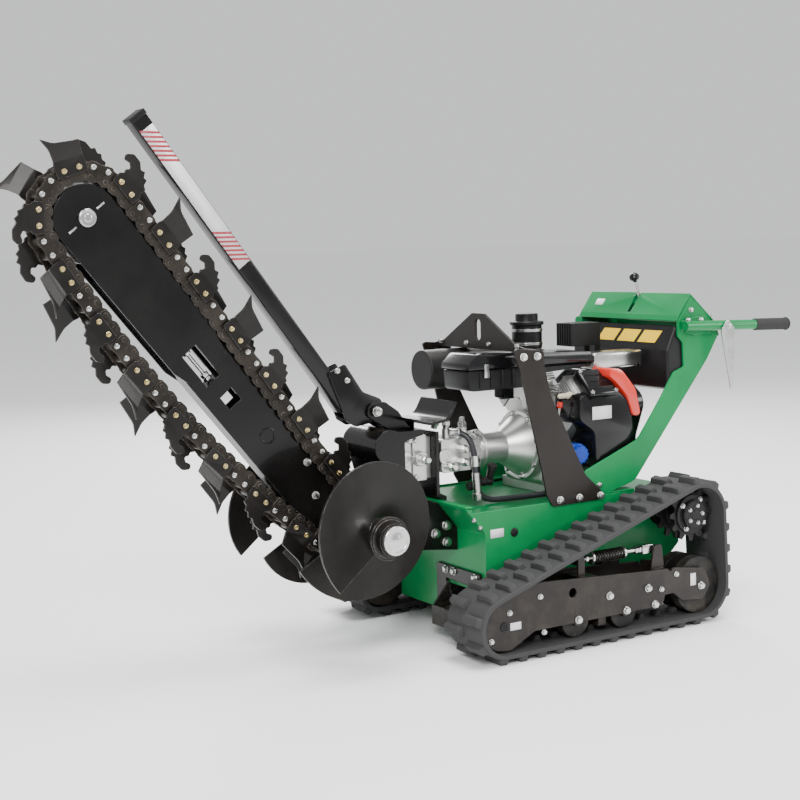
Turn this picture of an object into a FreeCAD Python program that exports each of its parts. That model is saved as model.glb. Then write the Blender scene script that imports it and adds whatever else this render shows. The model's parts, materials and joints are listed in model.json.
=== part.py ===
import FreeCAD, Part
import math
import os

# Tracked walk-behind trencher, in millimetres.
# Layout frame: the head shaft lies on x = 0, +X points forward, +Y to the machine's left,
# z = 0 is the ground. The finished nodes are moved so that the origin is at the middle of
# the whole machine's footprint.

Vec = FreeCAD.Vector

# ---------------------------------------------------------------- driving dimensions
PLATE = 8.0                  # common structural plate
SHEET = 5.0                  # common folded sheet
RUNNING = 0.05               # radial running clearance of a shaft in its bore
GAP = 0.5                    # clearance between faces that pass each other

# Tracks
TRACK_OUTER_Y = 430.0        # outer face of the rubber belt
BELT_WIDTH = 177.0
BELT_THICK = 14.0
LUG_HEIGHT = 16.0
LUG_LENGTH = 34.0
LUG_COUNT = 34
HORN_HEIGHT = 16.0
FRONT_IDLER_X = -312.0
FRONT_IDLER_R = 77.0
REAR_IDLER_X = -1062.0
REAR_IDLER_R = 88.0
SPROCKET_X = -1052.0
SPROCKET_Z = 340.0
SPROCKET_R = 88.0
SPROCKET_TEETH = 12
WHEEL_DISC = 34.0            # width of each disc of a track wheel
WHEEL_GROOVE = 42.0          # groove between the discs for the belt's horns
ROLLER_R = 50.0
ROLLER_XS = (-579.0, -762.0)
AXLE_R = 15.0
FRAME_OUTER_Y = 410.0        # outer face of the track frame's side plate
FRAME_INNER_Y = 262.0        # inner face of the track frame's inner plate
BELT_CLEAR = 6.0             # least gap between the frame's plates and the belt

# Chassis
HALF_WIDTH = 243.0           # outer face of the chassis and upright side plates
DECK_Z = 395.0
SIDE_TOP_Z = 408.0
BELLY_Z = 160.0
FRONT_X = -371.0
LIP_X = -304.0
LIP_Z = 420.0
REAR_X = -1125.0
MOTOR_R = 52.0
SHROUD_CLEAR = 10.0          # gap between the cooling shroud and the uprights' side plates

# Head shaft, augers and boom mount
HEAD_Z = 386.0
HEAD_SHAFT_R = 25.0
ARM_Y = 84.0                 # inner face of each bearing arm
ARM_THICK = 12.0
AUGER_START_Y = 104.0
AUGER_R = 206.0
AUGER_PITCH = 190.0
AUGER_HUB_R = 46.0
AUGER_CAP_R = 39.0
AUGER_END_Y = 351.0
FLIGHT_THICK = 8.0

# Boom and digging chain, in the boom's own frame: X along it, Z its upper side
BOOM_ANGLE = 51.0            # rest angle above level
BOOM_LENGTH = 1150.0         # head shaft to nose roller
HEAD_PITCH_R = 87.0
NOSE_PITCH_R = 132.0
SAG_RADIUS = 3200.0          # curve of the slack lower run
CHAIN_LINKS = 72
LINK_HALF_H = 17.0
LINK_PLATE = 6.0
LINK_OUT_Y = 34.0            # outer face of the outer link plates
ROLLER_LINK_R = 12.5
PIN_R = 7.0
TOOTH_PLATE = 8.0
CUP_HEIGHT = 92.0
CLAW_HEIGHT = 80.0
CUP_FLARE = 37.0             # sideways flare of a cup's tip
TOOTH_FOOT = 40.0            # half length of a tooth's foot along the chain
BOOM_LOW = -78.0
BOOM_HIGH = 70.0
BOOM_IN_Y = 22.0             # inner face of the inner boom section's side plates
BOOM_WALL = 6.0
NOSE_SECTION_X = 640.0
NOSE_HALF_H = 90.0
SLOT = (585.0, 698.0, -42.0, 9.0)
SQUARE_HOLE = (490.0, 535.0, -32.0, 12.0)
NOSE_ROLLER_HALF = 14.0
NOSE_SHAFT_R = 16.0
NOSE_CAP_R = 24.0

# Safety bar
BAR_SIZE = 50.0
BAR_WALL = 4.0
BAR_ANGLE = 53.5
BAR_TOP = (569.0, 1548.0)
BAR_LENGTH = 1030.0
BAR_PIVOT = (-126.0, 706.0)
BAR_PIN_R = 10.0
BAR_CHEEK = 6.0              # thickness of the bar's pivot cheeks
HOOD_Z = 646.0               # flat top of the hood that carries the bar's bracket

# Upper structure
CONSOLE_APEX = (-1179.0, 1013.0)
HANDLE_R = 16.0
HANDLE_Z = 908.0
HANDLE_FRONT_X = -1133.0
GRIP_FRONT_X = -1433.0
GRIP_REAR_X = -1580.0
GRIP_R = 19.0
BAIL_X = -530.0
BAIL_TOP_Z = 974.0
LEVER_PIVOT = (-1182.0, 985.0)
LEVER_KNOB_Z = 1062.0
BLADE_X = -1297.0

# Power train, all on one shaft line along X
DRIVE_Z = 552.0
ENGINE_FRONT_X = -690.0
ENGINE_REAR_X = -950.0


# ---------------------------------------------------------------- shape helpers
def corner_edges(points):
    """Lines and corner arcs through (u, v) or (u, v, radius) points, as 2-D pieces."""
    count = len(points)
    starts, mids, ends = [], [], []
    for i, point in enumerate(points):
        here = Vec(point[0], point[1], 0)
        radius = point[2] if len(point) > 2 else 0.0
        if radius == 0.0:
            starts.append(here)
            mids.append(None)
            ends.append(here)
            continue
        before = points[i - 1]
        after = points[(i + 1) % count]
        to_before = Vec(before[0], before[1], 0).sub(here).normalize()
        to_after = Vec(after[0], after[1], 0).sub(here).normalize()
        half = to_before.getAngle(to_after) / 2
        middle = to_before.add(to_after).normalize()
        reach = radius / math.tan(half)
        starts.append(here.add(to_before * reach))
        ends.append(here.add(to_after * reach))
        mids.append(here.add(middle * (radius / math.sin(half) - radius)))
    return starts, mids, ends


def outline(points, plane, height):
    """Closed wire in plane "xz", "yz" or "xy" at the given height on the third axis."""
    def lift(p):
        if plane == "xz":
            return Vec(p.x, height, p.y)
        if plane == "yz":
            return Vec(height, p.x, p.y)
        return Vec(p.x, p.y, height)

    starts, mids, ends = corner_edges(points)
    edges = []
    for i, start in enumerate(starts):
        if mids[i] is not None:
            edges.append(Part.Arc(lift(start), lift(mids[i]), lift(ends[i])).toShape())
        follow = starts[(i + 1) % len(starts)]
        if follow.distanceToPoint(ends[i]) > 1e-6:
            edges.append(Part.LineSegment(lift(ends[i]), lift(follow)).toShape())
    return Part.Wire(edges)


def plate(points, low, high, plane="xz"):
    """Flat plate of the given outline, from low to high on the axis across its plane."""
    direction = {"xz": Vec(0, 1, 0), "yz": Vec(1, 0, 0), "xy": Vec(0, 0, 1)}[plane]
    return Part.Face(outline(points, plane, low)).extrude(direction * (high - low))


def box(x0, x1, y0, y1, z0, z1):
    """Box between two corners."""
    return Part.makeBox(x1 - x0, y1 - y0, z1 - z0, Vec(x0, y0, z0))


def rod(start, end, radius):
    """Round bar from one point to another."""
    axis = Vec(*end).sub(Vec(*start))
    return Part.makeCylinder(radius, axis.Length, Vec(*start), axis)


def cross_rod(x, z, radius, y0, y1):
    """Round bar along Y."""
    return rod((x, y0, z), (x, y1, z), radius)


def join(shapes):
    """One solid from touching or overlapping pieces."""
    return shapes[0].multiFuse(shapes[1:]).removeSplitter()


def bored(shape, bores):
    """Shape with bores (x, z, radius, y0, y1) along Y taken out."""
    for x, z, radius, y0, y1 in bores:
        shape = shape.cut(cross_rod(x, z, radius, y0, y1))
    return shape


def mirrored(shape):
    """The same piece on the machine's other side."""
    return shape.mirror(Vec(0, 0, 0), Vec(0, 1, 0))


def pair(shape):
    """Left and right copies as one group."""
    return Part.makeCompound([shape, mirrored(shape)])


def placed(shape, x, z, normal):
    """Piece made with +Z outward, put at (x, z) with its outward side at the angle normal."""
    copy = shape.copy()
    copy.rotate(Vec(0, 0, 0), Vec(0, 1, 0), 90.0 - math.degrees(normal))
    copy.translate(Vec(x, 0, z))
    return copy


def on_boom(shape):
    """Boom-frame piece turned up to the rest angle on the head shaft."""
    copy = shape.copy()
    copy.rotate(Vec(0, 0, 0), Vec(0, 1, 0), -BOOM_ANGLE)
    copy.translate(Vec(0, 0, HEAD_Z))
    return copy


class Loop:
    """Closed run round wheels, anticlockwise in X-Z: arcs on wheels, lines or wide arcs between."""

    def __init__(self, wheels, wide=None):
        self.wheels = wheels
        self.wide = wide or {}
        self.parts = []
        count = len(wheels)
        spans = [self.span(i) for i in range(count)]
        for i in range(count):
            leave, arrive, centre, radius = spans[i]
            came = spans[i - 1][1]
            while leave < came:
                leave += 2 * math.pi
            x, z, r = wheels[i]
            self.parts.append(("arc", x, z, r, came, leave))
            if centre is None:
                self.parts.append(("line", i, leave))
            else:
                while arrive < leave:
                    arrive += 2 * math.pi
                self.parts.append(("arc", centre[0], centre[1], radius, leave, arrive))

    def span(self, i):
        """Outward angle leaving wheel i and reaching the next, with a wide arc's centre and radius."""
        ax, az, ar = self.wheels[i]
        bx, bz, br = self.wheels[(i + 1) % len(self.wheels)]
        dx, dz = bx - ax, bz - az
        reach = math.hypot(dx, dz)
        heading = math.atan2(dz, dx)
        if i not in self.wide:
            angle = heading - math.acos((ar - br) / reach)
            return angle, angle, None, None
        radius = self.wide[i]
        to_a, to_b = radius - ar, radius - br
        turn = math.acos((to_a ** 2 + reach ** 2 - to_b ** 2) / (2 * to_a * reach))
        cx = ax + to_a * math.cos(heading + turn)
        cz = az + to_a * math.sin(heading + turn)
        return math.atan2(az - cz, ax - cx), math.atan2(bz - cz, bx - cx), (cx, cz), radius

    def stretch(self, part, offset=0.0):
        """End points and outward angles of one part, moved outward."""
        if part[0] == "line":
            i, angle = part[1], part[2]
            ax, az, ar = self.wheels[i]
            bx, bz, br = self.wheels[(i + 1) % len(self.wheels)]
            cos, sin = math.cos(angle), math.sin(angle)
            return ((ax + (ar + offset) * cos, az + (ar + offset) * sin),
                    (bx + (br + offset) * cos, bz + (br + offset) * sin))
        _, x, z, r, a0, a1 = part
        return tuple((x + (r + offset) * math.cos(a), z + (r + offset) * math.sin(a)) for a in (a0, a1))

    def length_of(self, part):
        """Length of one part."""
        if part[0] == "line":
            (x0, z0), (x1, z1) = self.stretch(part)
            return math.hypot(x1 - x0, z1 - z0)
        return part[3] * (part[5] - part[4])

    def length(self):
        """Length of the whole loop."""
        return sum(self.length_of(part) for part in self.parts)

    def at(self, distance):
        """Point and outward angle at a distance along the loop."""
        left = distance % self.length()
        for part in self.parts:
            long = self.length_of(part)
            if left <= long:
                break
            left -= long
        share = left / long
        if part[0] == "line":
            (x0, z0), (x1, z1) = self.stretch(part)
            return x0 + (x1 - x0) * share, z0 + (z1 - z0) * share, part[2]
        _, x, z, r, a0, a1 = part
        angle = a0 + (a1 - a0) * share
        return x + r * math.cos(angle), z + r * math.sin(angle), angle

    def slab(self, offset, y0, y1):
        """Solid inside of the loop, grown outward by offset, from y0 to y1."""
        edges = []
        for part in self.parts:
            (x0, z0), (x1, z1) = self.stretch(part, offset)
            start, end = Vec(x0, y0, z0), Vec(x1, y0, z1)
            if part[0] == "line":
                edges.append(Part.LineSegment(start, end).toShape())
                continue
            _, x, z, r, a0, a1 = part
            middle = (a0 + a1) / 2
            mid = Vec(x + (r + offset) * math.cos(middle), y0, z + (r + offset) * math.sin(middle))
            edges.append(Part.Arc(start, mid, end).toShape())
        return Part.Face(Part.Wire(edges)).extrude(Vec(0, y1 - y0, 0))


# ---------------------------------------------------------------- tracks
BELT_TOTAL = BELT_THICK + LUG_HEIGHT
BELT_INNER_Y = TRACK_OUTER_Y - BELT_WIDTH
BELT_MID_Y = TRACK_OUTER_Y - BELT_WIDTH / 2
FRONT_IDLER_Z = FRONT_IDLER_R + BELT_TOTAL
REAR_IDLER_Z = REAR_IDLER_R + BELT_TOTAL
ROLLER_Z = ROLLER_R + BELT_TOTAL + 1.0
TRACK = Loop([(REAR_IDLER_X, REAR_IDLER_Z, REAR_IDLER_R),
              (FRONT_IDLER_X, FRONT_IDLER_Z, FRONT_IDLER_R),
              (SPROCKET_X, SPROCKET_Z, SPROCKET_R)])


def track_belt():
    """Left rubber belt: carcass, staggered tread lugs outside and guide horns inside."""
    belt = TRACK.slab(BELT_THICK, BELT_INNER_Y, TRACK_OUTER_Y)
    belt = belt.cut(TRACK.slab(0.0, BELT_INNER_Y - 1, TRACK_OUTER_Y + 1))
    half = BELT_WIDTH / 2 - 6
    low = BELT_THICK - 2
    lug = box(-LUG_LENGTH / 2, LUG_LENGTH / 2, 0, half, low, BELT_TOTAL)
    horn = plate([(-14, 1), (-7, -HORN_HEIGHT), (7, -HORN_HEIGHT), (14, 1)], -14, 14)
    pitch = TRACK.length() / LUG_COUNT
    pieces = [belt]
    for i in range(LUG_COUNT):
        for side in (0, 1):
            piece = lug.copy()
            piece.translate(Vec(0, TRACK_OUTER_Y - half - 2 if side else BELT_INNER_Y + 2, 0))
            pieces.append(placed(piece, *TRACK.at((i + side / 2) * pitch)))
        guide = horn.copy()
        guide.translate(Vec(0, BELT_MID_Y, 0))
        pieces.append(placed(guide, *TRACK.at(i * pitch)))
    under = box(REAR_IDLER_X - 200, FRONT_IDLER_X + 200, BELT_INNER_Y, TRACK_OUTER_Y, -10, 0)
    return join(pieces).cut(under)


def track_wheel(x, z, radius, hub_r=42.0):
    """Left track wheel: two discs on a hub, clear of the belt, bored to run on its axle."""
    reach = WHEEL_DISC + WHEEL_GROOVE / 2
    discs = [cross_rod(x, z, radius - GAP, BELT_MID_Y + side * WHEEL_GROOVE / 2,
                       BELT_MID_Y + side * reach) for side in (-1, 1)]
    hub = cross_rod(x, z, hub_r, BELT_MID_Y - reach, BELT_MID_Y + reach)
    wheel = join([hub] + discs)
    return bored(wheel, [(x, z, AXLE_R + RUNNING, BELT_MID_Y - 2 * reach, BELT_MID_Y + 2 * reach)])


def drive_sprocket():
    """Left drive sprocket: two toothed discs on a hub with four weight holes."""
    tip, root = SPROCKET_R - 2.0, SPROCKET_R - 20.0
    points = []
    for i in range(SPROCKET_TEETH):
        for share, radius in ((-0.32, root), (-0.14, tip), (0.14, tip), (0.32, root)):
            angle = 2 * math.pi * (i + share) / SPROCKET_TEETH
            points.append((SPROCKET_X + radius * math.cos(angle), SPROCKET_Z + radius * math.sin(angle)))
    reach = WHEEL_DISC + WHEEL_GROOVE / 2
    pieces = [cross_rod(SPROCKET_X, SPROCKET_Z, 44.0, BELT_MID_Y - reach, BELT_MID_Y + reach)]
    for side in (-1, 1):
        y = BELT_MID_Y + side * (WHEEL_GROOVE / 2 + 4)
        pieces.append(plate(points, min(y, y + side * 12), max(y, y + side * 12)))
    wheel = join(pieces)
    return bored(wheel, [(SPROCKET_X, SPROCKET_Z, AXLE_R + RUNNING, BELT_INNER_Y, TRACK_OUTER_Y)])


def track_frame():
    """Left track frame: side plates, cross beams to the chassis, rear yoke and fixed axles."""
    outer = [(-238, FRONT_IDLER_Z - 2), (-252, 168, 40), (-330, 196, 60), (-440, 218, 60), (-647, 205, 20),
             (-943, 187, 14), (-905, 78, 12), (-420, 78, 30), (-330, 32, 40), (-246, 50, 40)]
    inner_y = FRAME_INNER_Y + PLATE
    clear = TRACK.slab(-BELT_CLEAR, FRAME_INNER_Y, FRAME_OUTER_Y)
    side = plate(outer, FRAME_OUTER_Y - PLATE, FRAME_OUTER_Y).common(clear)
    side = side.cut(cross_rod(-560, 169, 14, FRAME_OUTER_Y - 10, FRAME_OUTER_Y + 1))
    inner = plate(outer, FRAME_INNER_Y, inner_y).common(clear)
    yoke_shape = [(-934, 150, 6), (-945, 190, 10), (-1078, 172, 16), (-1102, 118, 24), (-1074, 74, 16),
                  (-985, 82, 10), (-950, 110, 10)]
    pieces = [side, inner]
    for low in (FRAME_INNER_Y, FRAME_OUTER_Y - PLATE):
        pieces.append(plate(yoke_shape, low, low + PLATE))
        pieces.append(box(-985, -880, low, low + PLATE, 110, 180))
    pieces.append(box(-700, -640, inner_y, FRAME_OUTER_Y - PLATE, 150, 190))
    pieces.append(box(-690, -660, inner_y, FRAME_OUTER_Y - PLATE, 52, 190))
    for x in (-480.0, -820.0):
        pieces.append(box(x - 35, x + 35, HALF_WIDTH, inner_y, BELLY_Z, BELLY_Z + 45))
    for x, z in ((FRONT_IDLER_X, FRONT_IDLER_Z), (REAR_IDLER_X, REAR_IDLER_Z)):
        pieces.append(cross_rod(x, z, AXLE_R, FRAME_INNER_Y, FRAME_OUTER_Y))
    for x in ROLLER_XS:
        pieces.append(cross_rod(x, ROLLER_Z, AXLE_R, FRAME_INNER_Y, FRAME_OUTER_Y))
    pieces.append(plate([(-600, 200), (-600, 265, 8), (-625, 265, 8), (-625, 200)], 378, 386))
    pieces.append(plate([(-880, 185), (-895, 262, 8), (-925, 262, 8), (-935, 185)], 378, 386))
    pieces.append(box(-625, -600, 378, FRAME_OUTER_Y, 195, 205))
    pieces.append(box(-930, -885, 378, FRAME_OUTER_Y, 180, 189))
    return join(pieces)


def tension_spring():
    """Left track tension rod with its coil, between the frame's two lugs."""
    y, z = 360.0, 250.0
    pieces = [rod((-878, y, z), (-625, y, z), 7), rod((-792, y, z), (-784, y, z), 18),
              rod((-672, y, z), (-664, y, z), 18), rod((-878, y, z), (-860, y, z), 13)]
    coil = Part.makeHelix(12.0, 108.0, 15.0)
    wire = Part.Wire(coil.Edges)
    ring = Part.Wire(Part.Circle(Vec(15, 0, 0), Vec(0, 1, 0), 3.0).toShape())
    spring = wire.makePipeShell([ring], True, True)
    spring.rotate(Vec(0, 0, 0), Vec(0, 1, 0), 90)
    spring.translate(Vec(-782, y, z))
    lugs = [box(-900, -878, y - 20, 378, z - 14, z + 14), box(-625, -605, y - 20, 378, z - 14, z + 14)]
    return Part.makeCompound([join(pieces + lugs), spring])


def drive_motor():
    """Left hydraulic track motor with its output shaft."""
    parts = [cross_rod(SPROCKET_X, SPROCKET_Z, MOTOR_R, 150, FRAME_INNER_Y),
             cross_rod(SPROCKET_X, SPROCKET_Z, 46, 120, 150),
             cross_rod(SPROCKET_X, SPROCKET_Z, AXLE_R, FRAME_INNER_Y, BELT_MID_Y + 60)]
    return join(parts)


# ---------------------------------------------------------------- chassis
def chassis():
    """Welded tub: side plates, front wall with its overhanging lip, deck, belly and rear wall."""
    side_shape = [(FRONT_X, BELLY_Z), (FRONT_X, 338), (LIP_X, LIP_Z), (LIP_X - 20, LIP_Z - 2),
                  (LIP_X - 24, SIDE_TOP_Z), (REAR_X, SIDE_TOP_Z), (REAR_X, BELLY_Z + 60), (-1060, BELLY_Z)]
    side = plate(side_shape, HALF_WIDTH - PLATE, HALF_WIDTH)
    side = side.cut(cross_rod(SPROCKET_X, SPROCKET_Z, MOTOR_R + 2, 0, HALF_WIDTH + 1))
    side = side.cut(cross_rod(-475, 333, 12, 0, HALF_WIDTH + 1))
    inside = HALF_WIDTH - PLATE
    lip = [(FRONT_X, 338), (LIP_X, LIP_Z), (LIP_X - 8, LIP_Z), (FRONT_X - 8, 338)]
    pieces = [side, mirrored(side),
              box(FRONT_X - PLATE, FRONT_X, -inside, inside, BELLY_Z, 340),
              box(FRONT_X - PLATE, FRONT_X, -inside, -20, 70, BELLY_Z),
              plate(lip, -inside, inside),
              box(REAR_X, LIP_X - 23, -inside, inside, DECK_Z, DECK_Z + 6),
              box(-1060, FRONT_X, -inside, inside, BELLY_Z, BELLY_Z + 6),
              box(REAR_X, REAR_X + PLATE, -inside, inside, BELLY_Z + 60, DECK_Z),
              plate([(REAR_X, BELLY_Z + 60), (-1060, BELLY_Z), (-1050, BELLY_Z + 6), (REAR_X, BELLY_Z + 72)],
                    -inside, inside)]
    for x in (-820.0, -660.0):
        pieces.append(box(x - 20, x + 20, -inside, inside, DECK_Z - 30, DECK_Z))
    return join(pieces)


def front_bracket():
    """Black bracket on the front wall, with its open window and the beam below it."""
    thick = 10.0
    frame = [(-10, 217, 8), (222, 217, 8), (222, 150), (140, 84), (-10, 84)]
    window = [(40, 176, 3), (205, 172, 3), (122, 108, 3), (66, 108, 3)]
    front = plate(frame, FRONT_X, FRONT_X + thick, "yz")
    front = front.cut(plate(window, FRONT_X - 1, FRONT_X + thick + 1, "yz"))
    beam = box(FRONT_X, -300, 52, HALF_WIDTH - 1, 44, 104)
    rib = plate([(FRONT_X, 100), (FRONT_X + thick, 170), (-302, 100)], 52, 60)
    return join([front, beam, rib])


def boom_mount():
    """Two arms from the front wall that hold the head shaft in bearing housings."""
    arm_shape = [(FRONT_X, 270), (-120, 300, 40), (0, HEAD_Z - 62, 30), (62, HEAD_Z - 40, 40),
                 (62, HEAD_Z + 40, 40), (0, HEAD_Z + 62, 30), (-180, 470, 60), (LIP_X, LIP_Z), (FRONT_X, 338)]
    outer = ARM_Y + ARM_THICK
    arm = plate(arm_shape, ARM_Y, outer)
    arm = join([arm, cross_rod(0, HEAD_Z, 55, ARM_Y - 6, outer + 6)])
    arm = bored(arm, [(0, HEAD_Z, HEAD_SHAFT_R + RUNNING, 0, AUGER_END_Y)])
    tie = box(FRONT_X, -310, -ARM_Y, ARM_Y, 280, 330)
    return join([arm, mirrored(arm), tie])


def rolled_cover(arms):
    """Rolled hood behind the head of the chain, on cheeks that stand on the bearing arms."""
    x, z, radius, wide = -140.0, 604.0, 50.0, ARM_Y + ARM_THICK
    drum = cross_rod(x, z, radius, -wide, wide)
    drum = drum.cut(cross_rod(x, z, radius - SHEET, -wide + SHEET, wide - SHEET))
    cheek = plate([(-192, 430), (-150, 430), (-104, 600, 20), (-140, HOOD_Z, 10), (-256, HOOD_Z),
                   (-256, HOOD_Z - 16), (-192, HOOD_Z - 30, 8)], ARM_Y, wide)
    cheek = cheek.cut(arms)
    top = box(-256, x, -wide, wide, HOOD_Z - 6, HOOD_Z)
    return join([drum, cheek, mirrored(cheek), top.cut(cross_rod(x, z, radius - SHEET, -wide, wide))])


def bar_bracket():
    """Folded bracket on the hood that carries the safety bar's pivot pin."""
    y0 = BAR_SIZE / 2 + BAR_CHEEK + 2.0
    y1 = y0 + PLATE
    px, pz = BAR_PIVOT
    cheek = plate([(-246, HOOD_Z), (-175, HOOD_Z), (px + 30, pz - 12, 20), (px + 16, pz + 24, 20),
                   (px - 34, pz + 26, 20), (px - 80, pz - 6, 16)], y0, y1)
    foot = box(-246, -176, -y1, y1, HOOD_Z, HOOD_Z + 7)
    pin = cross_rod(px, pz, BAR_PIN_R, -y1 - 10, y1 + 10)
    return join([cheek, mirrored(cheek), foot, pin])


def deflector_pan(bracket):
    """Seat-shaped pan that straddles the bar's bracket, on a post from the hood."""
    y0, y1, thick = -60.0, 130.0, 8.0
    low, high = 668.0, 724.0
    pan = plate([(-205, low + 16), (-260, low, 60), (-322, low + 8, 40), (-350, high), (-358, high),
                 (-330, low, 48), (-260, low - thick, 68), (-205, low + 7)], y0, y1)
    post = box(-262, -256, -40, 40, HOOD_Z - 6, low - 2)
    return join([pan, post]).cut(bracket)


def tie_down_ring(arms):
    """Oblong ring that hangs under the far bearing arm, clear of the auger's flight."""
    y, thick = -98.0, 5.5
    outer = plate([(-78, 268, 26), (-78, 158, 26), (-20, 158, 26), (-20, 268, 26)], y - thick, y + thick)
    inner = plate([(-64, 254, 14), (-64, 172, 14), (-34, 172, 14), (-34, 254, 14)], y - 10, y + 10)
    lug = box(-70, -28, y - 6, -ARM_Y, 262, 330).cut(arms)
    return join([outer.cut(inner), lug.Solids[0]])


# ---------------------------------------------------------------- upper structure
def upright():
    """Left upright: cranked side plate with a folded flange along its rear edge."""
    shape = [(-650, SIDE_TOP_Z), (-753, 491, 30), (-958, 567, 60), (-1049, 684, 20), (-1108, 768, 20),
             (-1150, 782, 8), (-1146, 858, 10), (-1125, 880, 10), (-1125, 922), (-1133, 941), (-1180, 1004),
             (-1284, 911), (-1296, 871), (-1250, 800, 60), (-1144, 676, 60), (-945, 439, 60),
             (-830, SIDE_TOP_Z)]
    side = plate(shape, HALF_WIDTH - PLATE, HALF_WIDTH)
    flange = [(-1244, 803), (-1144, 685, 60), (-950, 452, 60), (-905, 425), (-900, 435), (-945, 462, 50),
              (-1137, 692, 50), (-1236, 810)]
    return join([side, plate(flange, HALF_WIDTH - 60, HALF_WIDTH - PLATE / 2),
                 box(-940, -660, HALF_WIDTH - 40, HALF_WIDTH, SIDE_TOP_Z, SIDE_TOP_Z + 6)])


def console():
    """Folded console cover between the uprights, with the control lever's slot."""
    thick = SHEET
    line = [(-1119, 928), (-1127, 944), CONSOLE_APEX, (-1290, 914), (-1303, 872)]
    under = [(-1297, 872), (-1284.6, 911), (-1179.7, 1006), (-1131.5, 943), (-1124, 926)]
    cover = plate(line + under, -HALF_WIDTH, HALF_WIDTH)
    slot = box(LEVER_PIVOT[0] - 50, LEVER_PIVOT[0] + 50, -9, 9, 940, 1030)
    cheek = plate([(-1205, 975), (-1160, 975), (-1165, 1000, 8), (-1180, 1008), (-1205, 984)], 11, 17)
    bracket = join([cheek, mirrored(cheek), cross_rod(LEVER_PIVOT[0], LEVER_PIVOT[1], 5, -17, 17)])
    return join([cover.cut(slot), bracket])


def fuel_tank():
    """Black tank with a sloping front panel, held between the uprights under the console."""
    shape = [(-1086, 836, 8), (-1122, 912, 6), (-1262, 900, 12), (-1250, 850, 20), (-1222, 815, 20),
             (-1130, 703, 20), (-1092, 716, 12)]
    wide = HALF_WIDTH - PLATE
    return plate(shape, -wide, wide)


def handle():
    """Left handle tube on its bolted bracket plate, with the release blade's pivot pin."""
    y = HALF_WIDTH + PLATE + HANDLE_R
    plate_shape = [(-1134, 928, 6), (-1190, 939, 10), (-1232, 940, 14), (-1262, 914, 14), (-1290, 888, 8),
                   (-1189, 880, 20), (-1144, 892, 12)]
    tube = rod((HANDLE_FRONT_X, y, HANDLE_Z + 4), (GRIP_REAR_X + 4, y, HANDLE_Z - 10), HANDLE_R)
    return join([plate(plate_shape, HALF_WIDTH, HALF_WIDTH + PLATE),
                 box(-1260, -1150, HALF_WIDTH + 2, y, 894, 916), tube])


def blade_pin():
    """Pin that the release blade turns on, welded to the left handle."""
    y = HALF_WIDTH + PLATE + 2 * HANDLE_R
    return cross_rod(BLADE_X, HANDLE_Z - 3, 5, y - 6, y + 14)


def grip():
    """Left rubber grip."""
    y = HALF_WIDTH + PLATE + HANDLE_R
    drop = 14.0 / (HANDLE_FRONT_X - GRIP_REAR_X - 4)
    start = HANDLE_Z + 4 - drop * (HANDLE_FRONT_X - GRIP_FRONT_X)
    sleeve = rod((GRIP_FRONT_X, y, start), (GRIP_REAR_X, y, HANDLE_Z - 10), GRIP_R)
    return sleeve.cut(rod((HANDLE_FRONT_X, y, HANDLE_Z + 4), (GRIP_REAR_X + 4, y, HANDLE_Z - 10), HANDLE_R))


def release_lever():
    """Triangular blade that hangs from the left handle."""
    y = HALF_WIDTH + PLATE + 2 * HANDLE_R + 4
    shape = [(-1296, 926, 6), (-1268, 896, 6), (-1268, 880, 6), (-1306, 702, 3), (-1314, 702, 3),
             (-1324, 882, 6), (-1322, 900, 6)]
    return bored(plate(shape, y, y + 5), [(BLADE_X, HANDLE_Z - 3, 5 + RUNNING, y - 1, y + 6)])


def control_lever():
    """Lever with a round knob, on the pin under the console."""
    px, pz = LEVER_PIVOT
    stem = rod((px, 0, pz), (px + 22, 0, LEVER_KNOB_Z), 5)
    knob = Part.makeSphere(17, Vec(px + 24, 0, LEVER_KNOB_Z))
    eye = cross_rod(px, pz, 12, -8, 8)
    return bored(join([eye, stem, knob]), [(px, pz, 5 + RUNNING, -9, 9)])


def bail_arm():
    """Left bail plate, bolted to the chassis side."""
    shape = [(-476, 878, 10), (-588, 868, 10), (-590, 824), (-614, 727, 60), (-742, 478, 30), (-818, 410, 8),
             (-808, 397, 6), (-615, 394, 10), (-592, 433), (-583, 479), (-523, 726), (-500, 814)]
    return plate(shape, HALF_WIDTH, HALF_WIDTH + PLATE)


def lifting_plate():
    """Cross plate between the bail arms with a raised, slotted lifting eye."""
    wide, top, low = HALF_WIDTH, BAIL_TOP_Z, 864.0
    shape = [(-wide, low), (wide, low), (wide, low + 10), (192, 884, 14), (30, top, 16), (-30, top, 16),
             (-192, 884, 14), (-wide, low + 10)]
    slot = [(-15, top - 84, 14.9), (15, top - 84, 14.9), (15, top - 18, 14.9), (-15, top - 18, 14.9)]
    sheet = plate(shape, BAIL_X - 5, BAIL_X + 5, "yz")
    sheet = sheet.cut(plate(slot, BAIL_X - 6, BAIL_X + 6, "yz"))
    foot = box(BAIL_X - 45, BAIL_X + 5, -wide, wide, low, low + 7)
    tabs = [box(BAIL_X - 45, BAIL_X + 5, y, y + PLATE, 815, low + 7) for y in (-wide, wide - PLATE)]
    return join([sheet, foot] + tabs)


# ---------------------------------------------------------------- power train
def engine_block():
    """Crankcase with its two inclined cylinders."""
    rear = ENGINE_REAR_X
    case = plate([(ENGINE_FRONT_X, 430, 20), (ENGINE_FRONT_X, 650, 30), (rear, 650, 30), (rear, 430, 20)],
                 -95, 95)
    feet = box(rear + 20, ENGINE_FRONT_X - 20, -140, 140, DECK_Z + 6, 434)
    pieces = [case, feet]
    for side in (-1, 1):
        barrel = box(-900, -760, -62, 62, 0, 150)
        barrel.rotate(Vec(0, 0, 0), Vec(1, 0, 0), -side * 45)
        barrel.translate(Vec(0, side * 40, 590))
        pieces.append(barrel)
    return join(pieces)


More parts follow.
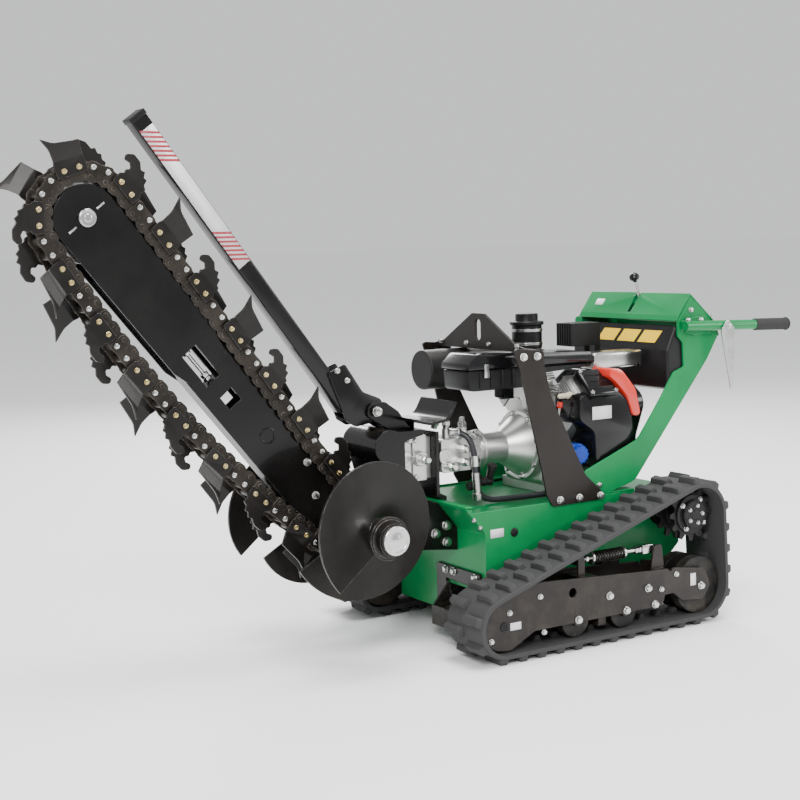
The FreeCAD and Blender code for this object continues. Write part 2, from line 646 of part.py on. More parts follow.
def cylinder_heads():
    """Two finned heads with their rocker covers, at the ends of the cylinders."""
    heads = []
    for side in (-1, 1):
        fins = [box(-905, -755, -66, 66, 151 + 9 * i, 156 + 9 * i) for i in range(5)]
        core = box(-890, -770, -50, 50, 150, 200)
        cover = box(-880, -780, -46, 46, 200, 228)
        head = join([core, cover] + fins)
        head.rotate(Vec(0, 0, 0), Vec(1, 0, 0), -side * 45)
        head.translate(Vec(0, side * 40, 590))
        heads.append(head)
    return Part.makeCompound(heads)


def blower_housing():
    """Cooling shroud round the flywheel at the engine's rear."""
    wide = HALF_WIDTH - PLATE - SHROUD_CLEAR
    shape = [(60 - wide, 430, 50), (wide - 60, 430, 50), (wide - 47, 570, 60), (wide, 690, 50),
             (wide - 115, 770, 60), (115 - wide, 770, 60), (-wide, 690, 50), (47 - wide, 570, 60)]
    return plate(shape, -1010, ENGINE_REAR_X, "yz")


def starter_cover():
    """Round red fan guard on the shroud's rear face."""
    guard = rod((-1010, 0, 590), (-1042, 0, 590), 128)
    slots = [box(-1043, -1030, -100, 100, 505 + 20 * i, 513 + 20 * i) for i in range(9)]
    inner = rod((-1043, 0, 590), (-1029, 0, 590), 110)
    cuts = [inner.common(slot) for slot in slots]
    for cut in cuts:
        guard = guard.cut(cut)
    return guard


def air_cleaner():
    """Long air cleaner box above the engine."""
    shape = [(-380, 752, 14), (-372, 832, 10), (-408, 861, 12), (-840, 846, 14), (-850, 800, 12),
             (-640, 790, 10), (-580, 752, 20)]
    return plate(shape, 20, 165)


def muffler():
    """Exhaust silencer on the engine's far side."""
    body = rod((-400, -132, 798), (-742, -132, 798), 62)
    pipe = rod((-700, -132, 745), (-700, -132, 690), 18)
    elbow = rod((-700, -132, 700), (-755, -132, 700), 18)
    return join([body, pipe, elbow])


def oil_filter():
    """Spin-on oil filter low on the engine's left side."""
    x, z = -756.0, 534.0
    return join([cross_rod(x, z, 20, 95, 112), cross_rod(x, z, 34, 112, 200), cross_rod(x, z, 27, 200, 214)])


def carburettor():
    """Carburettor between the cylinders, under the air cleaner."""
    return join([box(-760, -680, -30, 60, 700, 760), rod((-720, 40, 750), (-720, 40, 793), 19),
                 rod((-720, 0, 700), (-720, 0, 655), 22)])


def precleaner():
    """Upright intake canister with a wider cap."""
    return join([rod((-745, -42, 850), (-745, -42, 935), 48), rod((-745, -42, 935), (-745, -42, 962), 36),
                 rod((-745, -42, 925), (-745, -42, 937), 54), rod((-745, -42, 800), (-745, -42, 850), 24)])


def oil_cooler():
    """Finned cooler block behind the canister, on two legs from the shroud."""
    fins = [box(-980, -862, -40 + 12 * i, -34 + 12 * i, 852, 925) for i in range(7)]
    core = box(-975, -867, -40, 38, 860, 916)
    legs = [box(-985, -965, y, y + 12, 770, 870) for y in (-34.0, 20.0)]
    return join([core] + fins + legs)


def bell_housing():
    """Cast housing from the engine's face down to the pump line."""
    neck = rod((-507, 0, DRIVE_Z), (-600, 0, DRIVE_Z), 50)
    cone = Part.makeCone(50, 96, 70, Vec(-600, 0, DRIVE_Z), Vec(-1, 0, 0))
    flange = rod((-670, 0, DRIVE_Z), (ENGINE_FRONT_X, 0, DRIVE_Z), 110)
    rim = rod((-507, 0, DRIVE_Z), (-517, 0, DRIVE_Z), 62)
    return join([neck, cone, flange, rim])


def drive_pump():
    """Variable pump for the tracks, next to the bell housing."""
    body = plate([(-346, 500, 12), (-346, 602, 12), (-490, 602, 16), (-490, 500, 16)], -55, 55)
    flange = rod((-490, 0, DRIVE_Z), (-507, 0, DRIVE_Z), 60)
    ports = [rod((x, 30, 595), (x, 30, 632), 13) for x in (-380.0, -440.0)]
    return join([body, flange] + ports)


def pump_bracket():
    """Cranked plate between the two pumps, footed on the deck."""
    deck = DECK_Z + 6
    shape = [(-372, deck), (-334, deck), (-334, 424), (-310, 436), (-310, 632), (-322, 632), (-322, 446),
             (-346, 434), (-346, deck + 10), (-372, deck + 10)]
    return join([plate(shape, -80, 80), rod((-322, 0, DRIVE_Z), (-346, 0, DRIVE_Z), 40)])


def hydraulic_pump():
    """Cast gear pump for the digging circuit, in front of the bracket plate."""
    blocks = [box(-310, -292, -50, 50, 490, 618), box(-292, -242, -56, 56, 486, 624),
              box(-242, -198, -50, 50, 490, 618)]
    port = rod((-262, 56, 555), (-262, 78, 555), 22)
    return join(blocks + [port])


HOSE_ROUTE = [(-387.8, 40.4, 622), (-411.8, 72.4, 622), (-431.3, 98.4, 589.5), (-436, 105, 500),
              (-437.5, 107.5, 443.5), (-470, 110, 411), (-560, 121, 411), (-640, 130, 411), (-710, 130, 411)]
HOSE_R = 9.0


def hose(route, radius):
    """Round hose along straight runs joined by tangent arcs."""
    edges = []
    bends = []
    points = [Vec(*p) for p in route]
    start = points[0]
    for i in range(1, len(points) - 1):
        here = points[i]
        back, on = points[i - 1].sub(here), points[i + 1].sub(here)
        reach = 0.45 * min(back.Length, on.Length)
        back.normalize()
        on.normalize()
        half = back.getAngle(on) / 2
        bend = reach * math.tan(half)
        bends.append(bend)
        enter, leave = here.add(back * reach), here.add(on * reach)
        middle = back.add(on).normalize()
        mid = here.add(middle * (bend / math.sin(half) - bend))
        edges.append(Part.LineSegment(start, enter).toShape())
        edges.append(Part.Arc(enter, mid, leave).toShape())
        start = leave
    edges.append(Part.LineSegment(start, points[-1]).toShape())
    path = Part.Wire(edges)
    ring = Part.Wire(Part.Circle(points[0], points[1].sub(points[0]), radius).toShape())
    tube = path.makePipeShell([ring], True, False)
    share = tube.Volume / (math.pi * radius ** 2 * path.Length)
    print("hose bends", " ".join("%.0f" % bend for bend in bends))
    print("hose length %.1f share %.4f" % (path.Length, share))
    return tube


def pressure_hose(block):
    """Hose from the drive pump's port down to the deck and along it to the engine's foot."""
    return hose(HOSE_ROUTE, HOSE_R).cut(block)


# ---------------------------------------------------------------- boom and chain
CHAIN = Loop([(0.0, 0.0, HEAD_PITCH_R), (BOOM_LENGTH, 0.0, NOSE_PITCH_R)], {0: SAG_RADIUS})


def boom_inner():
    """Inner boom section: two bored side plates, webs and the tensioner's fixed block."""
    y0, y1 = BOOM_IN_Y, BOOM_IN_Y + BOOM_WALL
    end = NOSE_SECTION_X + 120
    shape = [(-58, -58, 57.9), (80, -62, 60), (150, BOOM_LOW, 40), (end, BOOM_LOW), (end, BOOM_HIGH),
             (180, BOOM_HIGH, 40), (80, 58, 60), (-58, 58, 57.9)]
    side = plate(shape, y0, y1)
    cuts = [box(SLOT[0], SLOT[1], 0, 60, SLOT[2], SLOT[3]),
            box(SQUARE_HOLE[0], SQUARE_HOLE[1], 0, 60, SQUARE_HOLE[2], SQUARE_HOLE[3])]
    for cut in cuts:
        side = side.cut(cut)
    side = bored(side, [(0, 0, HEAD_SHAFT_R + RUNNING, 0, 60)])
    webs = [box(165, end, -y0, y0, BOOM_HIGH - BOOM_WALL, BOOM_HIGH),
            box(165, end, -y0, y0, BOOM_LOW, BOOM_LOW + BOOM_WALL),
            box(SLOT[0] - 12, SLOT[0], -y0, y0, BOOM_LOW, BOOM_HIGH)]
    return on_boom(join([side, mirrored(side)] + webs))


def boom_outer():
    """Nose section: two outer plates that slide over the inner section and carry the nose shaft."""
    y0, y1 = BOOM_IN_Y + BOOM_WALL, BOOM_IN_Y + 2 * BOOM_WALL
    half = NOSE_HALF_H
    tip = BOOM_LENGTH + half - 4
    shape = [(NOSE_SECTION_X - 30, -half + 20, 10), (NOSE_SECTION_X + 40, -half, 30), (tip, -half, 84),
             (tip, half, 84), (NOSE_SECTION_X + 60, half - 10, 30), (NOSE_SECTION_X - 30, 60, 10)]
    side = plate(shape, y0, y1)
    side = side.cut(box(SLOT[0], SLOT[1], 0, 60, SLOT[2], SLOT[3]))
    side = bored(side, [(BOOM_LENGTH, 0, NOSE_SHAFT_R + RUNNING, 0, 60)])
    block = box(SLOT[1], SLOT[1] + 12, -BOOM_IN_Y, BOOM_IN_Y, -60, 30)
    straps = [box(SLOT[1] + 65, 1000, -y0, y0, BOOM_HIGH - BOOM_WALL, BOOM_HIGH),
              box(SLOT[1] + 65, 1000, -y0, y0, BOOM_LOW, BOOM_LOW + BOOM_WALL)]
    bars = [box(1004, 1018, -y0, y0, -60, 60)]
    return on_boom(join([side, mirrored(side)] + straps + bars)), on_boom(block)


def tension_bolt():
    """Chain tensioning screw in the boom's side opening."""
    z = (SLOT[2] + SLOT[3]) / 2
    screw = rod((SLOT[0], 0, z), (SLOT[1], 0, z), 10)
    nuts = [rod((x, 0, z), (x + 16, 0, z), 18) for x in (SLOT[0] + 8, SLOT[1] - 34)]
    return on_boom(join([screw] + nuts))


def chain_joints():
    """Points of the chain's joints round the loop, in the boom's frame."""
    pitch = CHAIN.length() / CHAIN_LINKS
    return [CHAIN.at(i * pitch)[:2] for i in range(CHAIN_LINKS)]


def link_seat(joints, i):
    """Middle, outward angle and length of link i."""
    (x0, z0), (x1, z1) = joints[i], joints[(i + 1) % CHAIN_LINKS]
    normal = math.atan2(z1 - z0, x1 - x0) - math.pi / 2
    return (x0 + x1) / 2, (z0 + z1) / 2, normal, math.hypot(x1 - x0, z1 - z0)


def link_plate(chord, y0, y1):
    """One side bar with round ends."""
    half = chord / 2 + LINK_HALF_H
    round_end = LINK_HALF_H - 0.1
    return plate([(-half, -LINK_HALF_H, round_end), (half, -LINK_HALF_H, round_end),
                  (half, LINK_HALF_H, round_end), (-half, LINK_HALF_H, round_end)], y0, y1)


def outer_link(chord):
    """Pair of outer side bars with their two pins."""
    bar = link_plate(chord, LINK_OUT_Y - LINK_PLATE, LINK_OUT_Y)
    pins = [cross_rod(side * chord / 2, 0, PIN_R, -LINK_OUT_Y, LINK_OUT_Y) for side in (-1, 1)]
    return join([bar, mirrored(bar)] + pins)


def inner_link(chord):
    """Pair of inner side bars with their two rollers."""
    high = LINK_OUT_Y - LINK_PLATE - 1
    bar = link_plate(chord, high - LINK_PLATE, high)
    rollers = [cross_rod(side * chord / 2, 0, ROLLER_LINK_R, -high, high) for side in (-1, 1)]
    link = join([bar, mirrored(bar)] + rollers)
    return bored(link, [(side * chord / 2, 0, PIN_R + 0.3, -high - 1, high + 1) for side in (-1, 1)])


def digging_chain():
    """Endless chain: outer and inner links in turn, round the head sprocket and nose roller."""
    joints = chain_joints()
    links = []
    for i in range(CHAIN_LINKS):
        x, z, normal, chord = link_seat(joints, i)
        link = outer_link(chord) if i % 2 == 0 else inner_link(chord)
        links.append(placed(link, x, z, normal))
    return on_boom(Part.makeCompound(links))


def tooth_section(height, s0, s1, y0, y1):
    """Four-sided section of a tooth at a height above the pitch line."""
    corners = [Vec(s0, y0, height), Vec(s1, y0, height), Vec(s1, y1, height), Vec(s0, y1, height)]
    return Part.makePolygon(corners + corners[:1])


def cup_tooth():
    """Wide flared cup on its bolted foot."""
    y0, y1 = LINK_OUT_Y, LINK_OUT_Y + TOOTH_PLATE
    foot = box(-TOOTH_FOOT, TOOTH_FOOT, y0, y1, -LINK_HALF_H, 30)
    wing = Part.makeLoft([tooth_section(30, -34, 34, y0, y1), tooth_section(58, -38, 40, y0 + 16, y1 + 16),
                          tooth_section(CUP_HEIGHT, 12, 62, y0 + CUP_FLARE, y1 + CUP_FLARE)], True, True)
    return join([foot, wing])


def claw_tooth():
    """Narrow hooked claw on its bolted foot."""
    y0, y1 = LINK_OUT_Y, LINK_OUT_Y + TOOTH_PLATE
    foot = box(-TOOTH_FOOT, TOOTH_FOOT, y0, y1, -LINK_HALF_H, 26)
    hook = Part.makeLoft([tooth_section(26, -26, 32, y0, y1), tooth_section(52, -6, 44, y0 + 5, y1 + 5),
                          tooth_section(CLAW_HEIGHT, 20, 66, y0 + 12, y1 + 12)], True, True)
    return join([foot, hook])


def teeth():
    """Cup and claw teeth on the outer links, in turn on the two sides of the chain."""
    joints = chain_joints()
    cups, claws = [], []
    for j in range(CHAIN_LINKS // 2):
        x, z, normal, _ = link_seat(joints, 2 * j)
        tooth = cup_tooth() if j % 4 in (0, 3) else claw_tooth()
        if j % 2:
            tooth = mirrored(tooth)
        (cups if j % 4 in (0, 3) else claws).append(placed(tooth, x, z, normal))
    return on_boom(Part.makeCompound(cups)), on_boom(Part.makeCompound(claws))


def nose_roller():
    """Nose roller on its shaft, with round caps outside the boom plates."""
    outer = BOOM_IN_Y + 2 * BOOM_WALL + GAP
    rim = NOSE_PITCH_R - ROLLER_LINK_R - GAP
    wheel = cross_rod(BOOM_LENGTH, 0, rim, -NOSE_ROLLER_HALF, NOSE_ROLLER_HALF)
    shaft = cross_rod(BOOM_LENGTH, 0, NOSE_SHAFT_R, -outer - 10, outer + 10)
    caps = [cross_rod(BOOM_LENGTH, 0, NOSE_CAP_R, low, low + 10) for low in (outer, -outer - 10)]
    return on_boom(join([wheel, shaft] + caps))


def head_shaft():
    """Driven cross shaft that carries the sprocket and both augers."""
    return cross_rod(0, HEAD_Z, HEAD_SHAFT_R, -AUGER_END_Y + 12, AUGER_END_Y - 12)


def head_sprocket():
    """Head sprocket inside the chain, bored to press on the shaft."""
    tip, root, teeth_count = HEAD_PITCH_R - ROLLER_LINK_R - 1.5, 60.0, 12
    points = []
    for i in range(teeth_count):
        for share, radius in ((-0.3, root), (-0.1, tip), (0.1, tip), (0.3, root)):
            angle = 2 * math.pi * (i + share) / teeth_count
            points.append((radius * math.cos(angle), HEAD_Z + radius * math.sin(angle)))
    wheel = plate(points, -12, 12)
    hub = cross_rod(0, HEAD_Z, 40, -20, 20)
    return bored(join([wheel, hub]), [(0, HEAD_Z, HEAD_SHAFT_R, -30, 30)])


def auger():
    """Left auger: hub with a helical flight of one and a bit turns, and a round end cap."""
    hub_end = AUGER_END_Y - 14
    hub = cross_rod(0, 0, AUGER_HUB_R, AUGER_START_Y, hub_end)
    cap = cross_rod(0, 0, AUGER_CAP_R, hub_end, AUGER_END_Y)
    height = hub_end - AUGER_START_Y - FLIGHT_THICK - 30
    inner = Part.makeHelix(AUGER_PITCH, height, AUGER_HUB_R - 4)
    outer = Part.makeHelix(AUGER_PITCH, height, AUGER_R)
    blade = Part.makeRuledSurface(inner.Edges[0], outer.Edges[0])
    flight = blade.extrude(Vec(0, 0, FLIGHT_THICK))
    flight.rotate(Vec(0, 0, 0), Vec(1, 0, 0), -90)
    flight.translate(Vec(0, AUGER_START_Y + 4, 0))
    flight.rotate(Vec(0, 0, 0), Vec(0, 1, 0), 30)
    whole = join([hub, cap, flight])
    whole.translate(Vec(0, 0, HEAD_Z))
    return bored(whole, [(0, HEAD_Z, HEAD_SHAFT_R, AUGER_START_Y - 1, AUGER_END_Y - 12)])


# ---------------------------------------------------------------- safety bar
def safety_bar():
    """Square tube with a plugged top and pivot cheeks at its lower end."""
    half = BAR_SIZE / 2
    tube = box(-BAR_LENGTH, 0, -half, half, -half, half)
    inside = half - BAR_WALL
    tube = tube.cut(box(-BAR_LENGTH - 1, -6, -inside, inside, -inside, inside))
    tube.rotate(Vec(0, 0, 0), Vec(0, 1, 0), -BAR_ANGLE)
    tube.translate(Vec(BAR_TOP[0], 0, BAR_TOP[1]))
    cheek = plate([(22, 826, 8), (-34, 852, 10), (-92, 765, 30), (-150, 742, 20), (-172, 706, 20),
                   (-150, 676, 16), (-66, 664, 20), (-34, 684, 10)], half, half + BAR_CHEEK)
    cheek = bored(cheek, [(BAR_PIVOT[0], BAR_PIVOT[1], BAR_PIN_R + RUNNING, 0, 60)])
    return join([tube, cheek, mirrored(cheek)])


# ---------------------------------------------------------------- assembly
def build():
    """All nodes by name, in the layout frame."""
    nodes = {}
    nodes["chassis"] = chassis()
    nodes["front_brackets"] = front_bracket()
    nodes["boom_mount"] = boom_mount()
    nodes["rolled_cover"] = rolled_cover(nodes["boom_mount"])
    nodes["bar_bracket"] = bar_bracket()
    nodes["deflector_pan"] = deflector_pan(nodes["bar_bracket"])
    nodes["tie_down_ring"] = tie_down_ring(nodes["boom_mount"])
    nodes["upright_left"] = upright()
    nodes["upright_right"] = mirrored(nodes["upright_left"])
    nodes["console"] = console()
    nodes["fuel_tank"] = fuel_tank()
    nodes["handlebars"] = Part.makeCompound([join([handle(), blade_pin()]), mirrored(handle())])
    nodes["grips"] = pair(grip())
    nodes["bail_arms"] = pair(bail_arm())
    nodes["lifting_plate"] = lifting_plate()
    nodes["engine_block"] = engine_block()
    nodes["cylinder_heads"] = cylinder_heads()
    nodes["blower_housing"] = blower_housing()
    nodes["starter_cover"] = starter_cover()
    nodes["air_cleaner"] = air_cleaner()
    nodes["muffler"] = muffler()
    nodes["oil_filter"] = oil_filter()
    nodes["carburettor"] = carburettor()
    nodes["precleaner"] = precleaner()
    nodes["oil_cooler"] = oil_cooler()
    nodes["bell_housing"] = bell_housing()
    nodes["drive_pump"] = drive_pump()
    nodes["pump_bracket"] = pump_bracket()
    nodes["hydraulic_pump"] = hydraulic_pump()
    nodes["pressure_hose"] = pressure_hose(nodes["engine_block"])
    nodes["tension_springs"] = pair(tension_spring())
    nodes["drive_motors"] = pair(drive_motor())
    left = {"track_frame": track_frame(), "track_belt": track_belt(), "drive_sprocket": drive_sprocket(),
            "front_idler": track_wheel(FRONT_IDLER_X, FRONT_IDLER_Z, FRONT_IDLER_R),
            "rear_idler": track_wheel(REAR_IDLER_X, REAR_IDLER_Z, REAR_IDLER_R)}
    for number, x in enumerate(ROLLER_XS, 1):
        left["track_roller_%d" % number] = track_wheel(x, ROLLER_Z, ROLLER_R, 32.0)
    for name, shape in left.items():
        nodes[name + "_left"] = shape
        nodes[name + "_right"] = mirrored(shape)
    nodes["boom_inner"] = boom_inner()
    sleeve, block = boom_outer()
    nodes["boom_outer"] = Part.makeCompound([sleeve, block])
    nodes["tension_bolt"] = tension_bolt()
    nodes["digging_chain"] = digging_chain()
    nodes["cup_teeth"], nodes["claw_teeth"] = teeth()
    nodes["nose_roller"] = nose_roller()
    nodes["head_shaft"] = head_shaft()
    nodes["head_sprocket"] = head_sprocket()
    nodes["auger_left"] = auger()
    nodes["auger_right"] = mirrored(nodes["auger_left"])
    nodes["safety_bar"] = safety_bar()
    nodes["control_lever"] = control_lever()
    nodes["release_lever"] = release_lever()
    return nodes


def export(nodes):
    """Move the machine to its footprint's middle and write one STEP file per node."""
    whole = FreeCAD.BoundBox()
    for shape in nodes.values():
        whole.add(shape.BoundBox)
    shift = Vec(-whole.Center.x, 0, 0)
    os.makedirs("parts", exist_ok=True)
    for name, shape in nodes.items():
        moved = shape.copy()
        moved.translate(shift)
        moved.exportStep("parts/%s.step" % name)
        if not moved.isValid():
            print("not valid:", name)
    print("head shaft at x = %.3f" % shift.x)
    print("size %.1f x %.1f x %.1f, %d nodes" % (whole.XLength, whole.YLength, whole.ZLength, len(nodes)))


export(build())
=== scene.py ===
"""Looks of a tracked walk-behind trencher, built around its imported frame.

Lengths inside the classes are millimetres in the machine's own layout: x runs forward from
the head shaft's axis, y to the machine's left and z up from the ground. A finished piece is
moved to the row frame, in metres, by the datum that the head shaft's box gives.
"""

import json
import logging
import math
from dataclasses import dataclass
from enum import Enum
from typing import Callable, Iterable, Mapping, Sequence

import bmesh
import bpy
from mathutils import Matrix, Vector


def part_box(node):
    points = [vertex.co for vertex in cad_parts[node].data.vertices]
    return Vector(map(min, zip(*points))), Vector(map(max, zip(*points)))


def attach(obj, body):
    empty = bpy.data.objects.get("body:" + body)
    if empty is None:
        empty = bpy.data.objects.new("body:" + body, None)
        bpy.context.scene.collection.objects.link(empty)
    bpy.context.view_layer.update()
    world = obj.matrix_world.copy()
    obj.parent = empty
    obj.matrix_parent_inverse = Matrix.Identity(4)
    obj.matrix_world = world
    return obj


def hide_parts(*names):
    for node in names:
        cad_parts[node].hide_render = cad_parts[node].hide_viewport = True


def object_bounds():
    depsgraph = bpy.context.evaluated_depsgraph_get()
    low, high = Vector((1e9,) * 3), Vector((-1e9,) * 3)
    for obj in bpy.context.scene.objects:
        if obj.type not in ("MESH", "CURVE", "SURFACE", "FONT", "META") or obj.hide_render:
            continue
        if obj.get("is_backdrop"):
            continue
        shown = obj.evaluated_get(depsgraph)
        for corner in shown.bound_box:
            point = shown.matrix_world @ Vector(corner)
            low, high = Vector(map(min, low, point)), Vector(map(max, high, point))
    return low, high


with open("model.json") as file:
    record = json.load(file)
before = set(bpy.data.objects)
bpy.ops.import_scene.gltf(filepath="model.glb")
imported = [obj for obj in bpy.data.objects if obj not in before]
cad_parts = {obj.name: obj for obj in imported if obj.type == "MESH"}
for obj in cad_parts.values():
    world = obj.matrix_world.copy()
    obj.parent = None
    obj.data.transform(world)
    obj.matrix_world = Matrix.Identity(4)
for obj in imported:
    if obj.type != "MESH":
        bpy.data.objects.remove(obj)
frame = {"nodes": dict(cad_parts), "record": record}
cad_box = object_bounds()

log = logging.getLogger("trencher")

Colour = tuple[float, float, float]
Corner = tuple[float, ...]
Triple = tuple[float, float, float]

MM = 0.001
UP = (0.0, 0.0, 1.0)
LEFTWARD = (0.0, 1.0, 0.0)
FORWARD = (1.0, 0.0, 0.0)
MIDDLE = (0.0, 0.0, 0.0)

PLATE = 8.0
HALF_WIDTH = 243.0
BAR_PIVOT = (-126.0, 706.0)
CRISP_EDGE = 32.0
BROKEN_EDGE = 35.0
BLANK_THICK = 0.8
BOLT_TURN = 17.0


# ------------------------------------------------------------------ layout
class Plane(Enum):
    """The plane that a flat outline is drawn in."""

    XZ = "xz"
    YZ = "yz"
    XY = "xy"

    def lift(self, u: float, v: float, height: float) -> Vector:
        """Point of the outline at a height across the plane."""
        if self is Plane.XZ:
            return Vector((u, height, v))
        if self is Plane.YZ:
            return Vector((height, u, v))
        return Vector((u, v, height))


class Side(Enum):
    """One side of the machine, by the sign of its y."""

    LEFT = 1
    RIGHT = -1

    @property
    def tag(self) -> str:
        """Word that ends the names on this side."""
        return self.name.lower()

    @property
    def mirror(self) -> Matrix:
        """Turns a piece made for the left into this side's."""
        return Matrix.Diagonal((1.0, float(self.value), 1.0, 1.0))

    @property
    def out(self) -> Triple:
        """Direction away from the machine's middle."""
        return 0.0, float(self.value), 0.0

    @property
    def inward(self) -> Triple:
        """Direction towards the machine's middle."""
        return 0.0, -float(self.value), 0.0

    def place(self, x: float, y: float, z: float, turn: float = 0.0) -> Matrix:
        """Place for a shape that faces outward on this side.

        Args:
            x: how far forward it sits.
            y: its distance from the machine's middle.
            z: its height.
            turn: turn about its own axis, degrees.

        Returns:
            The placing matrix.
        """
        return towards((x, self.value * y, z), self.out, turn)


@dataclass(frozen=True)
class Datum:
    """Places that every sub-assembly is measured from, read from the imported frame."""

    head: Vector
    nose: Vector

    @classmethod
    def read(cls) -> "Datum":
        """Takes the head shaft's and the nose roller's middles from their boxes."""
        return cls(box_middle("head_shaft"), box_middle("nose_roller"))

    @property
    def to_row(self) -> Matrix:
        """From the layout in millimetres to the row frame in metres."""
        return Matrix.Translation((self.head.x, 0.0, 0.0)) @ Matrix.Scale(MM, 4)

    @property
    def head_z(self) -> float:
        """Height of the head shaft, mm."""
        return self.head.z / MM

    @property
    def boom_angle(self) -> float:
        """Angle of the boom above level at rest, radians."""
        along = self.nose - self.head
        return math.atan2(along.z, along.x)

    @property
    def boom_length(self) -> float:
        """From the head shaft to the nose shaft, mm."""
        return (self.nose - self.head).length / MM

    @property
    def boom(self) -> Matrix:
        """From the boom's own frame, x along it and z on its upper side, to the layout."""
        return Matrix.Translation((0.0, 0.0, self.head_z)) @ Matrix.Rotation(-self.boom_angle, 4, "Y")


def box_middle(node: str) -> Vector:
    """Middle of a node's box in the row frame, metres."""
    low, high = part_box(node)
    return (low + high) / 2


def towards(at: Sequence[float], direction: Sequence[float], turn: float = 0.0) -> Matrix:
    """Place for a shape made along +Z.

    Args:
        at: where the shape's own origin goes.
        direction: where its +Z points.
        turn: turn about its own axis, degrees.

    Returns:
        The placing matrix.
    """
    spin = Vector(direction).to_track_quat("Z", "Y").to_matrix().to_4x4()
    return Matrix.Translation(Vector(at)) @ spin @ Matrix.Rotation(math.radians(turn), 4, "Z")


def rounded(points: Sequence[Corner], steps: int = 4) -> list[Vector]:
    """Outline whose corners with a third number, a radius, become arcs.

    Args:
        points: (u, v) or (u, v, radius) corners in order.
        steps: number of chords in each arc.

    Returns:
        The outline's points in two dimensions.
    """
    path: list[Vector] = []
    for i, corner in enumerate(points):
        here = Vector(corner[:2])
        radius = corner[2] if len(corner) > 2 else 0.0
        if radius <= 0.0:
            path.append(here)
            continue
        back = (Vector(points[i - 1][:2]) - here).normalized()
        onward = (Vector(points[(i + 1) % len(points)][:2]) - here).normalized()
        half = back.angle(onward) / 2
        centre = here + (back + onward).normalized() * (radius / math.sin(half))
        start = here + back * (radius / math.tan(half)) - centre
        finish = here + onward * (radius / math.tan(half)) - centre
        first = math.atan2(start.y, start.x)
        sweep = math.remainder(math.atan2(finish.y, finish.x) - first, math.tau)
        for k in range(steps + 1):
            angle = first + sweep * k / steps
            path.append(centre + Vector((math.cos(angle), math.sin(angle))) * radius)
    return path


@dataclass(frozen=True)
class Wheel:
    """A wheel in the X-Z plane that a belt or chain runs round."""

    x: float
    z: float
    r: float


@dataclass(frozen=True)
class Arc:
    """Arc of a run, from one outward angle to another."""

    x: float
    z: float
    r: float
    first: float
    last: float

    @property
    def length(self) -> float:
        """Length along the arc."""
        return self.r * (self.last - self.first)

    def at(self, share: float) -> Triple:
        """Point and outward angle at a share of the arc."""
        angle = self.first + (self.last - self.first) * share
        return self.x + self.r * math.cos(angle), self.z + self.r * math.sin(angle), angle


@dataclass(frozen=True)
class Straight:
    """Straight stretch of a run, with its outward angle."""

    start: tuple[float, float]
    end: tuple[float, float]
    outward: float

    @property
    def length(self) -> float:
        """Length of the stretch."""
        return math.dist(self.start, self.end)

    def at(self, share: float) -> Triple:
        """Point and outward angle at a share of the stretch."""
        x = self.start[0] + (self.end[0] - self.start[0]) * share
        z = self.start[1] + (self.end[1] - self.start[1]) * share
        return x, z, self.outward


class Run:
    """Closed run round wheels, anticlockwise in X-Z, with straight or slack stretches between."""

    def __init__(self, wheels: Sequence[Wheel], slack: Mapping[int, float] | None = None) -> None:
        """Works out the stretches.

        Args:
            wheels: the wheels in order.
            slack: radius of the wide arc that leaves a wheel, by the wheel's number.
        """
        self.parts: list[Arc | Straight] = []
        slack = slack or {}
        count = len(wheels)
        spans = [self._span(wheels[i], wheels[(i + 1) % count], slack.get(i)) for i in range(count)]
        for i, wheel in enumerate(wheels):
            leave, arrive, wide = spans[i]
            came = spans[i - 1][1]
            leave = came + (leave - came) % math.tau
            self.parts.append(Arc(wheel.x, wheel.z, wheel.r, came, leave))
            if wide is not None:
                onward = leave + (arrive - leave) % math.tau
                self.parts.append(Arc(wide.x, wide.z, wide.r, leave, onward))
                continue
            across = (wheel, wheels[(i + 1) % count])
            ends = [(w.x + w.r * math.cos(leave), w.z + w.r * math.sin(leave)) for w in across]
            self.parts.append(Straight(ends[0], ends[1], leave))

    @staticmethod
    def _span(a: Wheel, b: Wheel, slack: float | None) -> tuple[float, float, Wheel | None]:
        """Angles where a stretch leaves wheel a and reaches wheel b, with its wide arc if it is slack."""
        reach = math.dist((a.x, a.z), (b.x, b.z))
        heading = math.atan2(b.z - a.z, b.x - a.x)
        if slack is None:
            angle = heading - math.acos((a.r - b.r) / reach)
            return angle, angle, None
        to_a, to_b = slack - a.r, slack - b.r
        turn = math.acos((to_a ** 2 + reach ** 2 - to_b ** 2) / (2 * to_a * reach))
        cx = a.x + to_a * math.cos(heading + turn)
        cz = a.z + to_a * math.sin(heading + turn)
        return math.atan2(a.z - cz, a.x - cx), math.atan2(b.z - cz, b.x - cx), Wheel(cx, cz, slack)

    @property
    def length(self) -> float:
        """Length of the whole run."""
        return sum(part.length for part in self.parts)

    def at(self, distance: float) -> Triple:
        """Point and outward angle at a distance along the run."""
        left = distance % self.length
        for part in self.parts:
            if left <= part.length:
                return part.at(left / part.length)
            left -= part.length
        return self.parts[-1].at(1.0)


def seat(x: float, z: float, outward: float) -> Matrix:
    """Place on a run for a shape made with +Z outward and +X along its clockwise travel."""
    return Matrix.Translation((x, 0.0, z)) @ Matrix.Rotation(math.pi / 2 - outward, 4, "Y")


